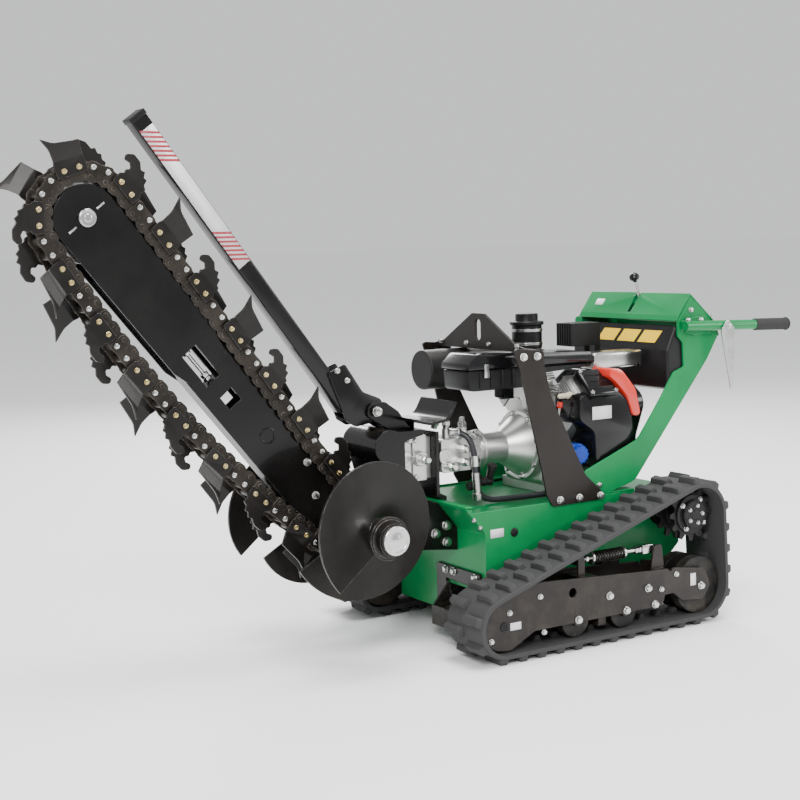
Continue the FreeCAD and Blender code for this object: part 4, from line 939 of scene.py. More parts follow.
@dataclass
class DiggingBoom(SubAssembly):
    """Boom plates, the chain with its teeth, and the chain's tensioner."""

    head_pitch_r: float = 87.0
    nose_pitch_r: float = 132.0
    slack_radius: float = 3200.0
    links: int = 72
    bar_rise: float = 16.0
    bar_drop: float = 40.0
    bar_thick: float = 3.0
    outer_y: float = 34.0
    inner_bar_y: float = 34.4
    outer_bar_y: float = 37.6
    tooth_y: float = 40.7
    roller_r: float = 12.5
    tooth_thick: float = 7.0
    cup_bend: float = 0.50
    claw_bend: float = 0.20
    bolt_gap: float = 21.0
    plate_y: float = 28.0
    pad_x: float = 356.0
    mark_reach: float = 50.0
    screw_start: float = 585.0
    screw_end: float = 698.0
    screw_z: float = -16.5

    def seats(self) -> list[tuple[Matrix, float]]:
        """Place in the layout and length between joints of every link."""
        head = Wheel(0.0, 0.0, self.head_pitch_r)
        nose = Wheel(self.datum.boom_length, 0.0, self.nose_pitch_r)
        run = Run([head, nose], {0: self.slack_radius})
        joints = [run.at(i * run.length / self.links)[:2] for i in range(self.links)]
        found = []
        for i, (x0, z0) in enumerate(joints):
            x1, z1 = joints[(i + 1) % self.links]
            outward = math.atan2(z1 - z0, x1 - x0) - math.pi / 2
            place = self.datum.boom @ seat((x0 + x1) / 2, (z0 + z1) / 2, outward)
            found.append((place, math.dist((x0, z0), (x1, z1))))
        return found

    def side_bar(self, chord: float, low: float) -> Shape:
        """Deep side bar of a link, with two round lobes on its inner edge, from y = low outward."""
        half, rise, drop = chord / 2 + 15.0, self.bar_rise, self.bar_drop
        lobe, notch = 13.0, drop - 9.0
        outline = [(-half, rise, 9.0), (-half + 2.0, -drop, lobe), (-8.0, -drop, lobe), (0.0, -notch, 5.0),
                   (8.0, -drop, lobe), (half - 2.0, -drop, lobe), (half, rise, 9.0), (0.0, rise - 3.0, 40.0)]
        return Shape.plate(outline, Plane.XZ, low, low + self.bar_thick, bevel=0.7, steps=3)

    def chain(self) -> None:
        """Outer and inner links in turn, with rollers, pin heads, the bolts' nuts, and thin discs of painted
        shade where the bars' holes are.
        """
        seats = self.seats()
        chord = sum(length for _, length in seats) / len(seats)
        reach = self.outer_y - 6.0
        chain = self.piece("chain_links", "boom", "chain_steel")
        for first, low in ((0, self.outer_bar_y), (1, self.inner_bar_y)):
            bar = self.side_bar(chord, low).mesh()
            places = [place for place, _ in seats[first::2]]
            chain.stamp(bar, CHAIN, [place @ side.mirror for place in places for side in Side])
        roller = Shape.rod(self.roller_r, 2 * reach, 18, bevel=0.8).mesh()
        ends = [-chord / 2, chord / 2]
        across = [towards((x, -reach, 0.0), LEFTWARD) for x in ends]
        chain.stamp(roller, CHAIN, [place @ seated for place, _ in seats[1::2] for seated in across])
        low_pin = Shape.rod(6.2, 1.6, 14, bevel=0.6).mesh()
        # Painted shade: thin dark discs on the outer bars' faces stand in for the holes, which are not cut.
        spot = Shape.rod(3.0, 0.4, 10).mesh()
        face = self.outer_bar_y + self.bar_thick
        for side in Side:
            heads = [side.place(x, face, -27.0) for x in ends]
            holes = [side.place(x, face, z) for x, z in ((0.0, -18.0), (-8.0, -31.0), (8.0, -31.0))]
            chain.stamp(low_pin, CHAIN, [place @ head for place, _ in seats[0::2] for head in heads])
            chain.stamp(spot, PAINTED_HOLE_SHADE, [place @ hole for place, _ in seats[0::2] for hole in holes])
        chain.close(replaces=["digging_chain"])
        self.chain_bolts([place for place, _ in seats[0::2]])

    def chain_bolts(self, places: Sequence[Matrix]) -> None:
        """Bolt heads on the teeth and nuts on the plain side of each outer link."""
        bolt = Fastener(11.5, 5.0, 7.4, 1.2).mesh()
        nuts = self.piece("tooth_nuts", "boom", "bare_steel")
        heads = self.piece("tooth_bolts", "boom", "bare_steel")
        bare = self.outer_bar_y + self.bar_thick
        for j, place in enumerate(places):
            side = Side.RIGHT if j % 2 else Side.LEFT
            plain, toothed = -side.value * bare, side.value * (self.tooth_y + self.tooth_thick)
            for x in (-self.bolt_gap, self.bolt_gap):
                back = towards((x, plain, 0.0), side.inward, 31.0 * j)
                front = towards((x, toothed, 0.0), side.out, 23.0 * j)
                nuts.stamp(bolt, ZINC, [place @ back])
                heads.stamp(bolt, GOLD, [place @ front])
        nuts.close()
        heads.close()

    def tooth(self, kind: ToothKind) -> Shape:
        """A tooth on its bolted foot, for the left side of a link."""
        if kind is ToothKind.CUP:
            outline = [(-43.0, -16.0, 6.0), (43.0, -16.0, 6.0), (43.0, 18.0, 5.0), (40.0, 30.0, 20.0),
                       (46.0, 60.0, 60.0), (66.0, 94.0), (34.0, 76.0, 50.0), (-38.0, 66.0, 2.0),
                       (-40.0, 26.0, 6.0), (-43.0, 15.0, 4.0)]
            share, steps, levels = self.cup_bend, 5, (28.0, 36.0, 45.0, 55.0, 66.0, 78.0)
        else:
            outline = [(-41.0, -15.0, 5.0), (41.0, -15.0, 5.0), (42.0, 14.0, 4.0), (34.0, 22.0, 4.0),
                       (38.0, 32.0, 3.0), (31.0, 42.0, 5.0), (44.0, 50.0, 5.0), (60.0, 44.0, 7.0),
                       (70.0, 56.0, 8.0), (56.0, 72.0, 12.0), (30.0, 72.0, 12.0), (12.0, 60.0, 6.0),
                       (2.0, 66.0, 3.0), (-8.0, 54.0, 3.0), (-18.0, 56.0, 3.0), (-24.0, 42.0, 3.0),
                       (-36.0, 38.0, 3.0), (-34.0, 22.0, 3.0), (-42.0, 14.0, 3.0)]
            share, steps, levels = self.claw_bend, 4, (30.0, 45.0, 60.0)
        root = levels[0]
        plate = Shape.plate(outline, Plane.XZ, self.tooth_y, self.tooth_y + self.tooth_thick, steps=steps)
        plate.cut_levels(levels)
        plate.bend(lambda co: Vector((0.0, share * max(0.0, co.z - root), 0.0)))
        return plate.bevel(1.1, 1, 40.0)

    def teeth(self) -> None:
        """Cup and claw teeth on the outer links, in turn on the two sides of the chain."""
        places = [place for place, _ in self.seats()[0::2]]
        for kind, turns in ((ToothKind.CUP, (0, 3)), (ToothKind.CLAW, (1, 2))):
            seats = [place @ (Side.RIGHT if j % 2 else Side.LEFT).mirror
                     for j, place in enumerate(places) if j % 4 in turns]
            rack = self.piece(kind.value + "_tooth_set", "boom", "black_steel")
            rack.stamp(self.tooth(kind), TOOTH, seats).close(replaces=[kind.value + "_teeth"])

    def plates(self) -> None:
        """The two boom sections, with the pads and bolts on them."""
        soften(BLACK, "boom_inner", "boom_outer")
        boom, nose = self.datum.boom, self.datum.boom_length
        trim = self.piece("boom_trim", "boom", "black_paint")
        profile = [(19.0, 0.0), (24.0, 0.0), (24.0, 1.6), (22.5, 2.4), (20.0, 2.4), (19.0, 1.6)]
        ring = Shape.turned(profile, 40, closed=True)
        trim.stamp(ring, BLACK, [boom @ side.place(self.pad_x, self.plate_y, 4.0) for side in Side])
        mark = Shape.block((-13.0, -2.6, 0.0), (13.0, 2.6, 2.2), 0.8).mesh()
        upright = Matrix.Rotation(math.pi / 2, 4, "Y")
        for side in Side:
            for height in (self.mark_reach, -self.mark_reach):
                spot = Matrix.Translation((nose, side.value * self.outer_y, height))
                trim.stamp(mark, ZINC, [boom @ spot @ upright @ towards(MIDDLE, side.out)])
        trim.close()
        spots = ((118.0, 0.0), (210.0, 44.0))
        places = [boom @ side.place(x, self.plate_y, z) for side in Side for x, z in spots]
        self.piece("boom_bolts", "boom", "bare_steel").stamp(M12.mesh(), STEEL, places).close()

    def tensioner(self) -> None:
        """Threaded tensioning screw with its nuts, in the boom's side opening."""
        length = self.screw_end - self.screw_start
        crest, root, pitch = 6.0, 5.0, 3.5
        profile: list[tuple[float, float]] = [(0.0, 0.0)]
        for k in range(int(length / pitch)):
            profile += [(root, k * pitch + 0.4), (crest, k * pitch + pitch / 2)]
        profile += [(root, length), (0.0, length)]
        screw = self.piece("tension_screw", "boom", "bare_steel")
        along = self.datum.boom @ towards((self.screw_start, 0.0, self.screw_z), FORWARD)
        screw.stamp(Shape.turned(profile, 24), ZINC, [along])
        nut = Shape.rod(13.0, 11.0, 6, bevel=1.4).mesh()
        lift = [Matrix.Translation((0.0, 0.0, z)) for z in (3.0, 16.0, 98.0)]
        screw.stamp(nut, ZINC, [along @ step for step in lift]).close(replaces=["tension_bolt"])

    def nose(self) -> None:
        """Roller in the nose, with a dished cap on each end of its shaft."""
        soften(STEEL, "nose_roller", width=0.8)
        dish = Shape.turned([(0.0, 3.2), (9.0, 3.2), (11.0, 1.6), (17.0, 1.6), (21.0, 2.6), (23.5, 1.0),
                             (23.5, 0.0), (0.0, 0.0)], 40)
        face = self.outer_y + 10.5
        places = [self.datum.boom @ side.place(self.datum.boom_length, face, 0.0) for side in Side]
        self.piece("nose_caps", "nose_wheel", "bare_steel").stamp(dish, ZINC, places).close()

    def make(self) -> None:
        """Builds the whole sub-assembly."""
        self.plates()
        self.chain()
        self.teeth()
        self.tensioner()
        self.nose()


@dataclass
class HeadDrive(SubAssembly):
    """Driven shaft with its sprocket and the two spoil augers."""

    cap_y: float = 351.0
    cap_r: float = 39.0
    collar_y: float = 300.0

    def make(self) -> None:
        """Dresses the CAD parts and adds the augers' end caps and collars."""
        dress(TOOTH, "auger_left", "auger_right")
        dress(STEEL, "head_shaft")
        soften(CHAIN, "head_sprocket", width=0.8)
        cap_r, lip_r, height = self.cap_r, self.cap_r + 2.0, self.datum.head_z
        rim = Shape.turned([(0.0, 2.0), (12.0, 2.0), (14.0, 0.8), (30.0, 0.8), (32.0, 2.4), (cap_r, 2.4),
                            (lip_r, 0.6), (lip_r, -10.0), (cap_r, -12.0), (0.0, -12.0)], 48)
        places = [side.place(0.0, self.cap_y, height) for side in Side]
        self.piece("auger_caps", "head", "bare_steel").stamp(rim, ZINC, places).close()
        profile = [(52.0, 0.0), (62.0, 0.0), (62.0, 12.0), (60.0, 14.0), (54.0, 14.0), (52.0, 12.0)]
        ring = Shape.turned(profile, 48, closed=True)
        collars = [side.place(0.0, self.collar_y, height) for side in Side]
        hub = Shape.rod(54.0, 16.0, 40, bevel=1.5)
        drums = self.piece("auger_collars", "head", "black_steel")
        drums.stamp(hub, TOOTH, collars).stamp(ring, TOOTH, collars).close()


@dataclass
class SafetyBar(SubAssembly):
    """Square tube that stands in front of the operator's place, with its plug, band and pivot cheeks."""

    size: float = 50.0
    lean: float = 53.5
    length: float = 1030.0
    top: tuple[float, float] = (569.0, 1548.0)
    cheek_thick: float = 6.0
    band_start: float = 42.0
    band_end: float = 500.0
    stripe_zone: float = 108.0
    stripe: float = 7.5

    @property
    def along(self) -> Matrix:
        """From the tube's frame, x = 0 at its top end and negative below, to the layout."""
        x, z = self.top
        return Matrix.Translation((x, 0.0, z)) @ Matrix.Rotation(-math.radians(self.lean), 4, "Y")

    def make(self) -> None:
        """Builds the tube with its cheeks, the plug, the band and the pivot's fasteners."""
        half = self.size / 2
        tube = self.piece("safety_bar_tube", "bar", "black_paint")
        tube.stamp(Shape.block((-self.length, -half, -half), (-4.0, half, half), 5.0, 3), BLACK, [self.along])
        cheek = Shape.plate([(22.0, 826.0, 8.0), (-34.0, 852.0, 10.0), (-92.0, 765.0, 30.0),
                             (-150.0, 742.0, 20.0), (-172.0, 706.0, 20.0), (-150.0, 676.0, 16.0),
                             (-66.0, 664.0, 20.0), (-34.0, 684.0, 10.0)],
                            Plane.XZ, half, half + self.cheek_thick, 1.2).mesh()
        tube.stamp(cheek, BLACK, [side.mirror for side in Side]).close(replaces=["safety_bar"])
        plug = self.piece("bar_plug", "bar", "black_plastic")
        lip = half + 1.6
        cap = Shape.block((-13.0, -lip, -lip), (3.0, lip, lip), 2.5, 3)
        plug.stamp(cap, PLASTIC, [self.along]).close()
        self.band()
        pivot_x, pivot_z = BAR_PIVOT
        face = half + self.cheek_thick
        steps = ((86.0, 96.0), (118.0, 126.0))
        seats = both_sides([((pivot_x + x, face, pivot_z + z), LEFTWARD) for x, z in steps])
        self.bolts("bar_bolts", "bar", "bare_steel", M8, STEEL, seats)

    def band(self) -> None:
        """White band on the near face, with slanted red stripes over both its ends."""
        face, width = self.size / 2, self.size / 2 - 3.0
        start, end = -self.band_start, -self.band_end
        band = self.piece("bar_band", "bar", "red_plastic")
        band.stamp(Shape.block((end, face, -width), (start, face + 0.5, width), 0.2), WHITE, [self.along])
        slope = -width / math.tan(math.radians(self.lean))
        count = int(self.stripe_zone / (2 * self.stripe))
        first = [start - self.stripe_zone, end - slope]
        stripes = [low + 2 * self.stripe * k for low in first for k in range(count)]
        slat = Shape.plate([(-slope, -width), (self.stripe - slope, -width), (self.stripe + slope, width),
                            (slope, width)], Plane.XZ, face + 0.4, face + 0.9).mesh()
        band.stamp(slat, STRIPE, [self.along @ Matrix.Translation((x, 0.0, 0.0)) for x in stripes]).close()


# ------------------------------------------------------------------ tracks
@dataclass
class Track(SubAssembly):
    """One rubber track: belt, frame plate fasteners, spring and wheel faces."""

    side: Side = Side.LEFT
    outer_y: float = 430.0
    width: float = 177.0
    thick: float = 14.0
    lug_height: float = 16.0
    lug_length: float = 34.0
    lugs: int = 34
    plate_y: float = 410.0
    rear_idler: Wheel = Wheel(-1062.0, 118.0, 88.0)
    front_idler: Wheel = Wheel(-312.0, 107.0, 77.0)
    sprocket: Wheel = Wheel(-1052.0, 340.0, 88.0)
    lug_inset: float = 3.0
    ring_y: float = 378.5
    hub_y: float = 396.5
    spring_at: Triple = (-880.0, 360.0, 250.0)

    @property
    def run(self) -> Run:
        """Inner face of the belt."""
        return Run([self.rear_idler, self.front_idler, self.sprocket])

    @property
    def lug_reach(self) -> float:
        """Length of a lug across the belt."""
        return self.width / 2 - 7.0

    def carcass(self) -> Shape:
        """Endless band with chamfered edges."""
        shape = Shape()
        run, count = self.run, 150
        low, high = self.outer_y - self.width, self.outer_y
        section = [(low, 0.0), (high, 0.0), (high, self.thick - 3.0), (high - 4.0, self.thick),
                   (low + 4.0, self.thick), (low, self.thick - 3.0)]
        rings = []
        for i in range(count):
            place = seat(*run.at(i * run.length / count))
            corners = [shape.bm.verts.new(place @ Vector((0.0, y, z))) for y, z in section]
            rings.append([shape.bm.edges.new((corners[k - 1], corners[k])) for k in range(len(corners))])
        for k, ring in enumerate(rings):
            bmesh.ops.bridge_loops(shape.bm, edges=ring + rings[(k + 1) % count])
        bmesh.ops.recalc_face_normals(shape.bm, faces=shape.bm.faces)
        return shape

    def lug(self) -> Shape:
        """Tread lug that tapers to a worn top, with a nick at its inner end."""
        reach = self.lug_reach
        half = self.lug_length / 2
        shape = Shape.plate([(-half, 0.0, 4.0), (half, 0.0, 9.0), (half - 3.0, reach * 0.55, 20.0),
                             (half, reach, 5.0), (-half, reach, 9.0), (-half + 3.0, reach * 0.45, 20.0)],
                            Plane.XY, self.thick - 2.0, self.thick + self.lug_height, steps=2)
        base, rise = self.thick, self.lug_height

        def taper(co: Vector) -> Vector:
            """Draws the top in towards the lug's middle line."""
            share = max(0.0, co.z - base) / rise
            return Vector((-0.26 * co.x * share, (reach / 2 - co.y) * 0.10 * share, 0.0))

        return shape.bend(taper).bevel(2.2, 2, 35.0)

    def belt(self) -> None:
        """The belt with two staggered rows of lugs and the guide horns inside it."""
        run = self.run
        flip = self.side.mirror
        belt = self.piece("tread_belt_" + self.side.tag, "root", "track_rubber")
        belt.stamp(self.carcass(), BELT, [flip])
        lug = self.lug().mesh()
        outer = self.outer_y - self.lug_inset
        inner = self.outer_y - self.width + self.lug_inset
        pitch = run.length / self.lugs
        onward = Matrix.Translation((0.0, inner, 0.0))
        turned = Matrix.Translation((0.0, outer, 0.0)) @ Matrix.Rotation(math.pi, 4, "Z")
        places = []
        for i in range(self.lugs):
            places.append(flip @ seat(*run.at(i * pitch)) @ onward)
            places.append(flip @ seat(*run.at((i + 0.5) * pitch)) @ turned)
        belt.stamp(lug, BELT, places)
        horn = Shape.plate([(-14.0, 1.0), (-7.0, -16.0, 3.0), (7.0, -16.0, 3.0), (14.0, 1.0)], Plane.XZ,
                           -14.0, 14.0, 1.5, 2).mesh()
        middle = self.outer_y - self.width / 2
        belt.stamp(horn, BELT, [flip @ seat(*run.at(i * pitch)) @ Matrix.Translation((0.0, middle, 0.0))
                                for i in range(self.lugs)])
        belt.close(replaces=["track_belt_" + self.side.tag])

    def frame_trim(self) -> None:
        """Bolts, plugs and blank plates on the frame's outer side."""
        side, y = self.side, self.plate_y
        large = [(-579.0, 86.0), (-762.0, 86.0), (-874.0, 87.0), (-697.0, 140.0), (-847.0, 141.0),
                 (self.rear_idler.x, self.rear_idler.z)]
        small = [(-452.0, 70.0), (-266.0, 72.0), (-440.0, 176.0), (-331.0, 145.0), (-900.0, 130.0),
                 (-960.0, 168.0)]
        for label, kind, spots in (("wheel_bolts_", M12, large), ("frame_bolts_", M8, small)):
            seats = [((x, side.value * y, z), side.out) for x, z in spots]
            self.bolts(label + side.tag, "root", "bare_steel", kind, ZINC, seats)
        blanks = self.piece("frame_plates_" + side.tag, "root", "red_plastic")
        blank = Shape.block((-19.0, -11.0, 0.0), (19.0, 11.0, BLANK_THICK), 0.2)
        places = [side.place(-352.0, y, 104.0), side.place(-1030.0, y, 142.0, 90.0)]
        blanks.stamp(blank, WHITE, places).close()
        hub = Shape.turned([(0.0, 0.6), (7.0, 0.6), (8.5, 2.0), (13.0, 2.0), (14.5, 0.0), (0.0, 0.0)], 28)
        plugs = self.piece("frame_plugs_" + side.tag, "root", "black_paint")
        plugs.stamp(hub, PLASTIC, [side.place(self.front_idler.x, y, self.front_idler.z)]).close()

    def spring(self) -> None:
        """Tension spring on its threaded rod, with a plated clevis."""
        side = self.side
        _, y, z = self.spring_at
        at = side.mirror @ towards(self.spring_at, FORWARD)
        spring = self.piece("track_spring_" + side.tag, "root", "bare_steel")
        spring.stamp(Shape.rod(6.5, 258.0, 20), STEEL, [at])
        coil = Shape.coil(radius=15.0, wire=3.4, pitch=10.5, turns=10.5)
        spring.stamp(coil, TOOTH, [at @ Matrix.Translation((0.0, 0.0, 96.0))])
        collar = Shape.rod(19.0, 7.0, 28, bevel=1.0).mesh()
        spring.stamp(collar, STEEL, [at @ Matrix.Translation((0.0, 0.0, up)) for up in (86.0, 208.0)])
        nut = Shape.rod(12.0, 10.0, 6, bevel=1.0).mesh()
        spring.stamp(nut, ZINC, [at @ Matrix.Translation((0.0, 0.0, up)) for up in (22.0, 34.0, 226.0)])
        clevis = Shape.block((-14.0, -14.0, -22.0), (14.0, 14.0, 20.0), 3.0)
        spring.stamp(clevis, ZINC, [at])
        lug = Shape.block((-605.0, y - 20.0, z - 14.0), (-625.0, y + 18.0, z + 14.0), 2.0)
        spring.stamp(lug, UMBER, [side.mirror])
        spring.close(replaces=["tension_springs"] if side is Side.LEFT else [])

    def wheel_faces(self) -> None:
        """Sprocket, idlers and rollers with broken edges, and a bolted ring and hub on the sprocket."""
        side, tag = self.side, self.side.tag
        soften(CAST_BLACK, "drive_sprocket_" + tag, "front_idler_" + tag, "rear_idler_" + tag,
               "track_roller_1_" + tag, "track_roller_2_" + tag, width=1.5)
        x, z = self.sprocket.x, self.sprocket.z
        body = "drive_sprocket_" + tag
        ring_thick, hub_step = 8.0, 2.0
        face = self.piece("sprocket_ring_" + tag, body, "motor_black")
        ring = Shape.turned([(32.0, 0.0), (62.0, 0.0), (62.0, 6.0), (60.0, ring_thick), (34.0, ring_thick),
                             (32.0, 6.0)], 48, closed=True)
        face.stamp(ring, CAST_BLACK, [side.place(x, self.ring_y, z)])
        hub = Shape.turned([(0.0, 6.0), (14.0, 6.0), (18.0, hub_step), (38.0, hub_step), (40.0, 0.0),
                            (0.0, 0.0)], 40)
        face.stamp(hub, CAST_BLACK, [side.place(x, self.hub_y, z)]).close()
        for label, kind, count, radius, y in (("ring_bolts_", M8, 4, 52.0, self.ring_y + ring_thick),
                                              ("hub_bolts_", M6, 5, 28.0, self.hub_y + hub_step)):
            circle = bolt_circle(radius, count, 0.6)
            seats = [((x + dx, side.value * y, z + dz), side.out) for dx, dz in circle]
            self.bolts(label + tag, body, "bare_steel", kind, ZINC, seats)

    def make(self) -> None:
        """Builds this side's track."""
        self.belt()
        soften(UMBER, "track_frame_" + self.side.tag)
        self.frame_trim()
        self.spring()
        self.wheel_faces()


# ------------------------------------------------------------------ chassis
@dataclass
class Chassis(SubAssembly):
    """Green tub with the black parts bolted to its front."""

    front_x: float = -371.0
    arm_y: float = 96.0
    cheek_y: float = 51.0

    def make(self) -> None:
        """Builds the shells, then the fasteners, plugs and blank plates."""
        soften(GREEN, "chassis", "upright_left", "upright_right", "console", "tie_down_ring", width=1.5)
        soften(BLACK, "front_brackets", "boom_mount", "rolled_cover", "deflector_pan", "bar_bracket",
               "pump_bracket")
        soften(UMBER, "bail_arms", "lifting_plate")
        self.fasteners()
        self.trim()

    def fasteners(self) -> None:
        """Bolts of the lip, the front bracket, the bearing arms, the bail, the pivot and the hood."""
        arm_face = HALF_WIDTH + PLATE
        lip = [((-330.0 - 22.0 * k, HALF_WIDTH, 386.0 - 25.0 * k), LEFTWARD) for k in range(2)]
        self.bolts("lip_bolts", "root", "bare_steel", M6, STEEL, both_sides(lip))
        bracket = [((self.front_x + 10.0, y, 203.0), FORWARD) for y in (43.0, 86.0, 198.0)]
        self.bolts("bracket_bolts", "root", "bare_steel", M12, ZINC, bracket)
        spots = ((-330.0, 300.0), (-330.0, 350.0), (-290.0, 330.0))
        arms = [((x, self.arm_y, z), LEFTWARD) for x, z in spots]
        self.bolts("mount_bolts", "root", "bare_steel", M16, STEEL, both_sides(arms))
        spots = ((-641.0, 412.0), (-715.0, 411.0), (-797.0, 409.0), (-512.0, 852.0), (-562.0, 852.0))
        bail = [((x, arm_face, z), LEFTWARD) for x, z in spots]
        self.bolts("bail_bolts", "root", "bare_steel", M12, ZINC, both_sides(bail))
        pivot_x, pivot_z = BAR_PIVOT
        pivot = [((pivot_x, self.cheek_y, pivot_z), LEFTWARD)]
        self.bolts("pivot_bolts", "root", "bare_steel", M16, STEEL, both_sides(pivot))
        hood = [((x, 30.0, 653.0), UP) for x in (-236.0, -190.0)]
        self.bolts("hood_bolts", "root", "bare_steel", M8, STEEL, both_sides(hood))
        eye = [((-525.0, y, 880.0), FORWARD) for y in (60.0, 205.0)]
        self.bolts("eye_bolts", "root", "bare_steel", M8, STEEL, both_sides(eye))

    def trim(self) -> None:
        """Plugs, blank plates and the flat bar along the lip."""
        plug = Shape.turned([(0.0, 3.0), (9.0, 3.0), (12.0, 1.6), (14.0, 0.0), (0.0, 0.0)], 32).mesh()
        plugs = self.piece("wall_plugs", "root", "black_plastic")
        places = [towards((self.front_x, -6.0, 310.0), FORWARD)]
        places += [side.place(-475.0, HALF_WIDTH, 333.0) for side in Side]
        plugs.stamp(plug, PLASTIC, places).close()
        blanks = self.piece("wall_plates", "root", "red_plastic")
        blank = Shape.block((-24.0, -13.0, 0.0), (24.0, 13.0, 0.7), 0.2).mesh()
        blanks.stamp(blank, WHITE, [side.place(-412.0, HALF_WIDTH, 338.0) for side in Side]).close()
        lip = self.piece("lip_bar", "root", "green_paint")
        reach = HALF_WIDTH - 4.0
        bar = Shape.block((-330.0, -reach, 420.0), (-304.0, reach, 426.0), 1.2)
        lip.stamp(bar, GREEN).close()


# ------------------------------------------------------------------ power unit
HOSE_ROUTE: tuple[Triple, ...] = (
    (-387.8, 40.4, 622.0), (-411.8, 72.4, 622.0), (-431.3, 98.4, 589.5), (-436.0, 105.0, 500.0),
    (-437.5, 107.5, 443.5), (-470.0, 110.0, 411.0), (-560.0, 121.0, 411.0), (-640.0, 130.0, 411.0),
    (-710.0, 130.0, 411.0))


@dataclass
class PowerUnit(SubAssembly):
    """Engine, pumps and what is bolted to them."""

    drive_z: float = 552.0
    bank: float = 45.0
    bank_y: float = 40.0
    bank_z: float = 590.0
    cover_top: float = 236.0
    bell_x: float = -670.0
    bell_bolt_r: float = 102.0
    pump_front_x: float = -198.0
    filter_x: float = -756.0
    filter_z: float = 534.0
    flute_r: float = 27.0
    canister: tuple[float, float] = (-745.0, -42.0)
    hose_d: float = 18.0

    def on_bank(self, side: Side) -> Matrix:
        """From a cylinder's own frame, z along its bore, to the layout."""
        lean = Matrix.Rotation(-side.value * math.radians(self.bank), 4, "X")
        return Matrix.Translation((0.0, side.value * self.bank_y, self.bank_z)) @ lean

    def castings(self) -> None:
        """The CAD castings with their edges broken, in their own finishes."""
        soften(ALLOY, "engine_block", "bell_housing", "drive_pump", "hydraulic_pump", "carburettor",
               width=2.0)
        soften(ALLOY, "cylinder_heads", width=0.7)
        soften(PLASTIC, "oil_cooler", width=0.7)
        soften(GLOSS_PLASTIC, "blower_housing", width=6.0)
        soften(RED, "starter_cover", width=1.5)
        soften(PLASTIC, "precleaner", width=2.5)
        soften(BLUE, "oil_filter", width=3.0)
        soften(CAST_BLACK, "muffler", width=5.0)
        soften(CAST_BLACK, "drive_motors", width=2.0)

    def covers(self) -> None:
        """Rocker covers with their bolts, the side of the fan shroud with its plate, and the heat guard."""
        top = self.cover_top
        cover = Shape.block((-886.0, -52.0, 198.0), (-774.0, 52.0, top), 9.0, 3).mesh()
        rib = Shape.block((-874.0, -2.0, top - 2.0), (-786.0, 2.0, top + 3.0), 1.5).mesh()
        caps = self.piece("rocker_covers", "root", "black_plastic")
        banks = [self.on_bank(side) for side in Side]
        caps.stamp(cover, GLOSS_PLASTIC, banks)
        steps = [Matrix.Translation((0.0, y, 0.0)) for y in (-24.0, 0.0, 24.0)]
        caps.stamp(rib, GLOSS_PLASTIC, [bank @ step for bank in banks for step in steps])
        caps.close()
        spots = [(x, y) for x in (-876.0, -784.0) for y in (-42.0, 42.0)]
        heads = [bank @ towards((x, y, top), UP) for bank in banks for x, y in spots]
        self.piece("cover_bolts", "root", "bare_steel").stamp(M6.mesh(), ZINC, heads).close()
        shroud = self.piece("shroud_side", "root", "red_plastic")
        segment = Shape.plate([(-858.0, 796.0, 10.0), (-905.0, 790.0, 40.0), (-962.0, 724.0, 60.0),
                               (-982.0, 640.0, 12.0), (-950.0, 640.0, 12.0), (-925.0, 706.0, 60.0),
                               (-880.0, 752.0, 40.0), (-856.0, 770.0, 8.0)], Plane.XZ, 140.0, 232.0, 5.0)
        case = Shape.plate([(-806.0, 482.0, 20.0), (-800.0, 600.0, 30.0), (-742.0, 640.0, 30.0),
                            (-742.0, 716.0, 20.0), (-872.0, 744.0, 30.0), (-944.0, 690.0, 60.0),
                            (-962.0, 600.0, 60.0), (-952.0, 482.0, 40.0)], Plane.XZ, 96.0, 226.0, 12.0)
        shroud.stamp(segment, RED).stamp(case, GLOSS_PLASTIC).close()
        label = self.piece("shroud_plate", "root", "red_plastic")
        blank = Shape.block((-866.0, 225.8, 640.0), (-790.0, 225.8 + BLANK_THICK, 680.0), 0.2)
        label.stamp(blank, WHITE).close()
        guard = self.piece("heat_guard", "root", "bare_steel")
        sheet = Shape.block((-1072.0, 62.0, 784.0), (-872.0, 138.0, 836.0), 8.0, 3)
        guard.stamp(sheet, SHEET_METAL).close()

    def air_box(self) -> None:
        """Air cleaner: a ribbed case under a clipped lid."""
        box = self.piece("air_cleaner_case", "root", "black_plastic")
        case = Shape.plate([(-384.0, 752.0, 14.0), (-378.0, 812.0, 6.0), (-842.0, 812.0, 6.0),
                            (-848.0, 800.0, 8.0), (-640.0, 790.0, 20.0), (-580.0, 752.0, 20.0)],
                           Plane.XZ, 26.0, 159.0, 3.0)
        lid = Shape.plate([(-374.0, 815.0, 4.0), (-374.0, 832.0, 10.0), (-408.0, 861.0, 14.0),
                           (-840.0, 846.0, 14.0), (-850.0, 815.0, 4.0)], Plane.XZ, 20.0, 165.0, 5.0)
        box.stamp(case, PLASTIC).stamp(lid, GLOSS_PLASTIC)
        rib = Shape.block((-3.0, 156.0, 760.0), (3.0, 163.0, 810.0), 1.5).mesh()
        box.stamp(rib, PLASTIC, [Matrix.Translation((-420.0 - 40.0 * k, 0.0, 0.0)) for k in range(4)])
        clip = Shape.plate([(-9.0, 790.0, 3.0), (9.0, 790.0, 3.0), (7.0, 830.0, 4.0), (-7.0, 830.0, 4.0)],
                           Plane.XZ, 163.0, 168.0, 1.2).mesh()
        box.stamp(clip, ZINC, [Matrix.Translation((x, 0.0, 0.0)) for x in (-440.0, -600.0)])
        box.close(replaces=["air_cleaner"])
        duct = self.piece("intake_duct", "root", "black_plastic")
        elbow = Shape.turned([(0.0, 0.0), (30.0, 0.0), (30.0, 8.0), (26.0, 10.0), (26.0, 22.0), (30.0, 24.0),
                              (30.0, 44.0), (0.0, 44.0)], 32)
        duct.stamp(elbow, PLASTIC, [towards((-745.0, -10.0, 826.0), (0.0, 1.0, -0.1))]).close()

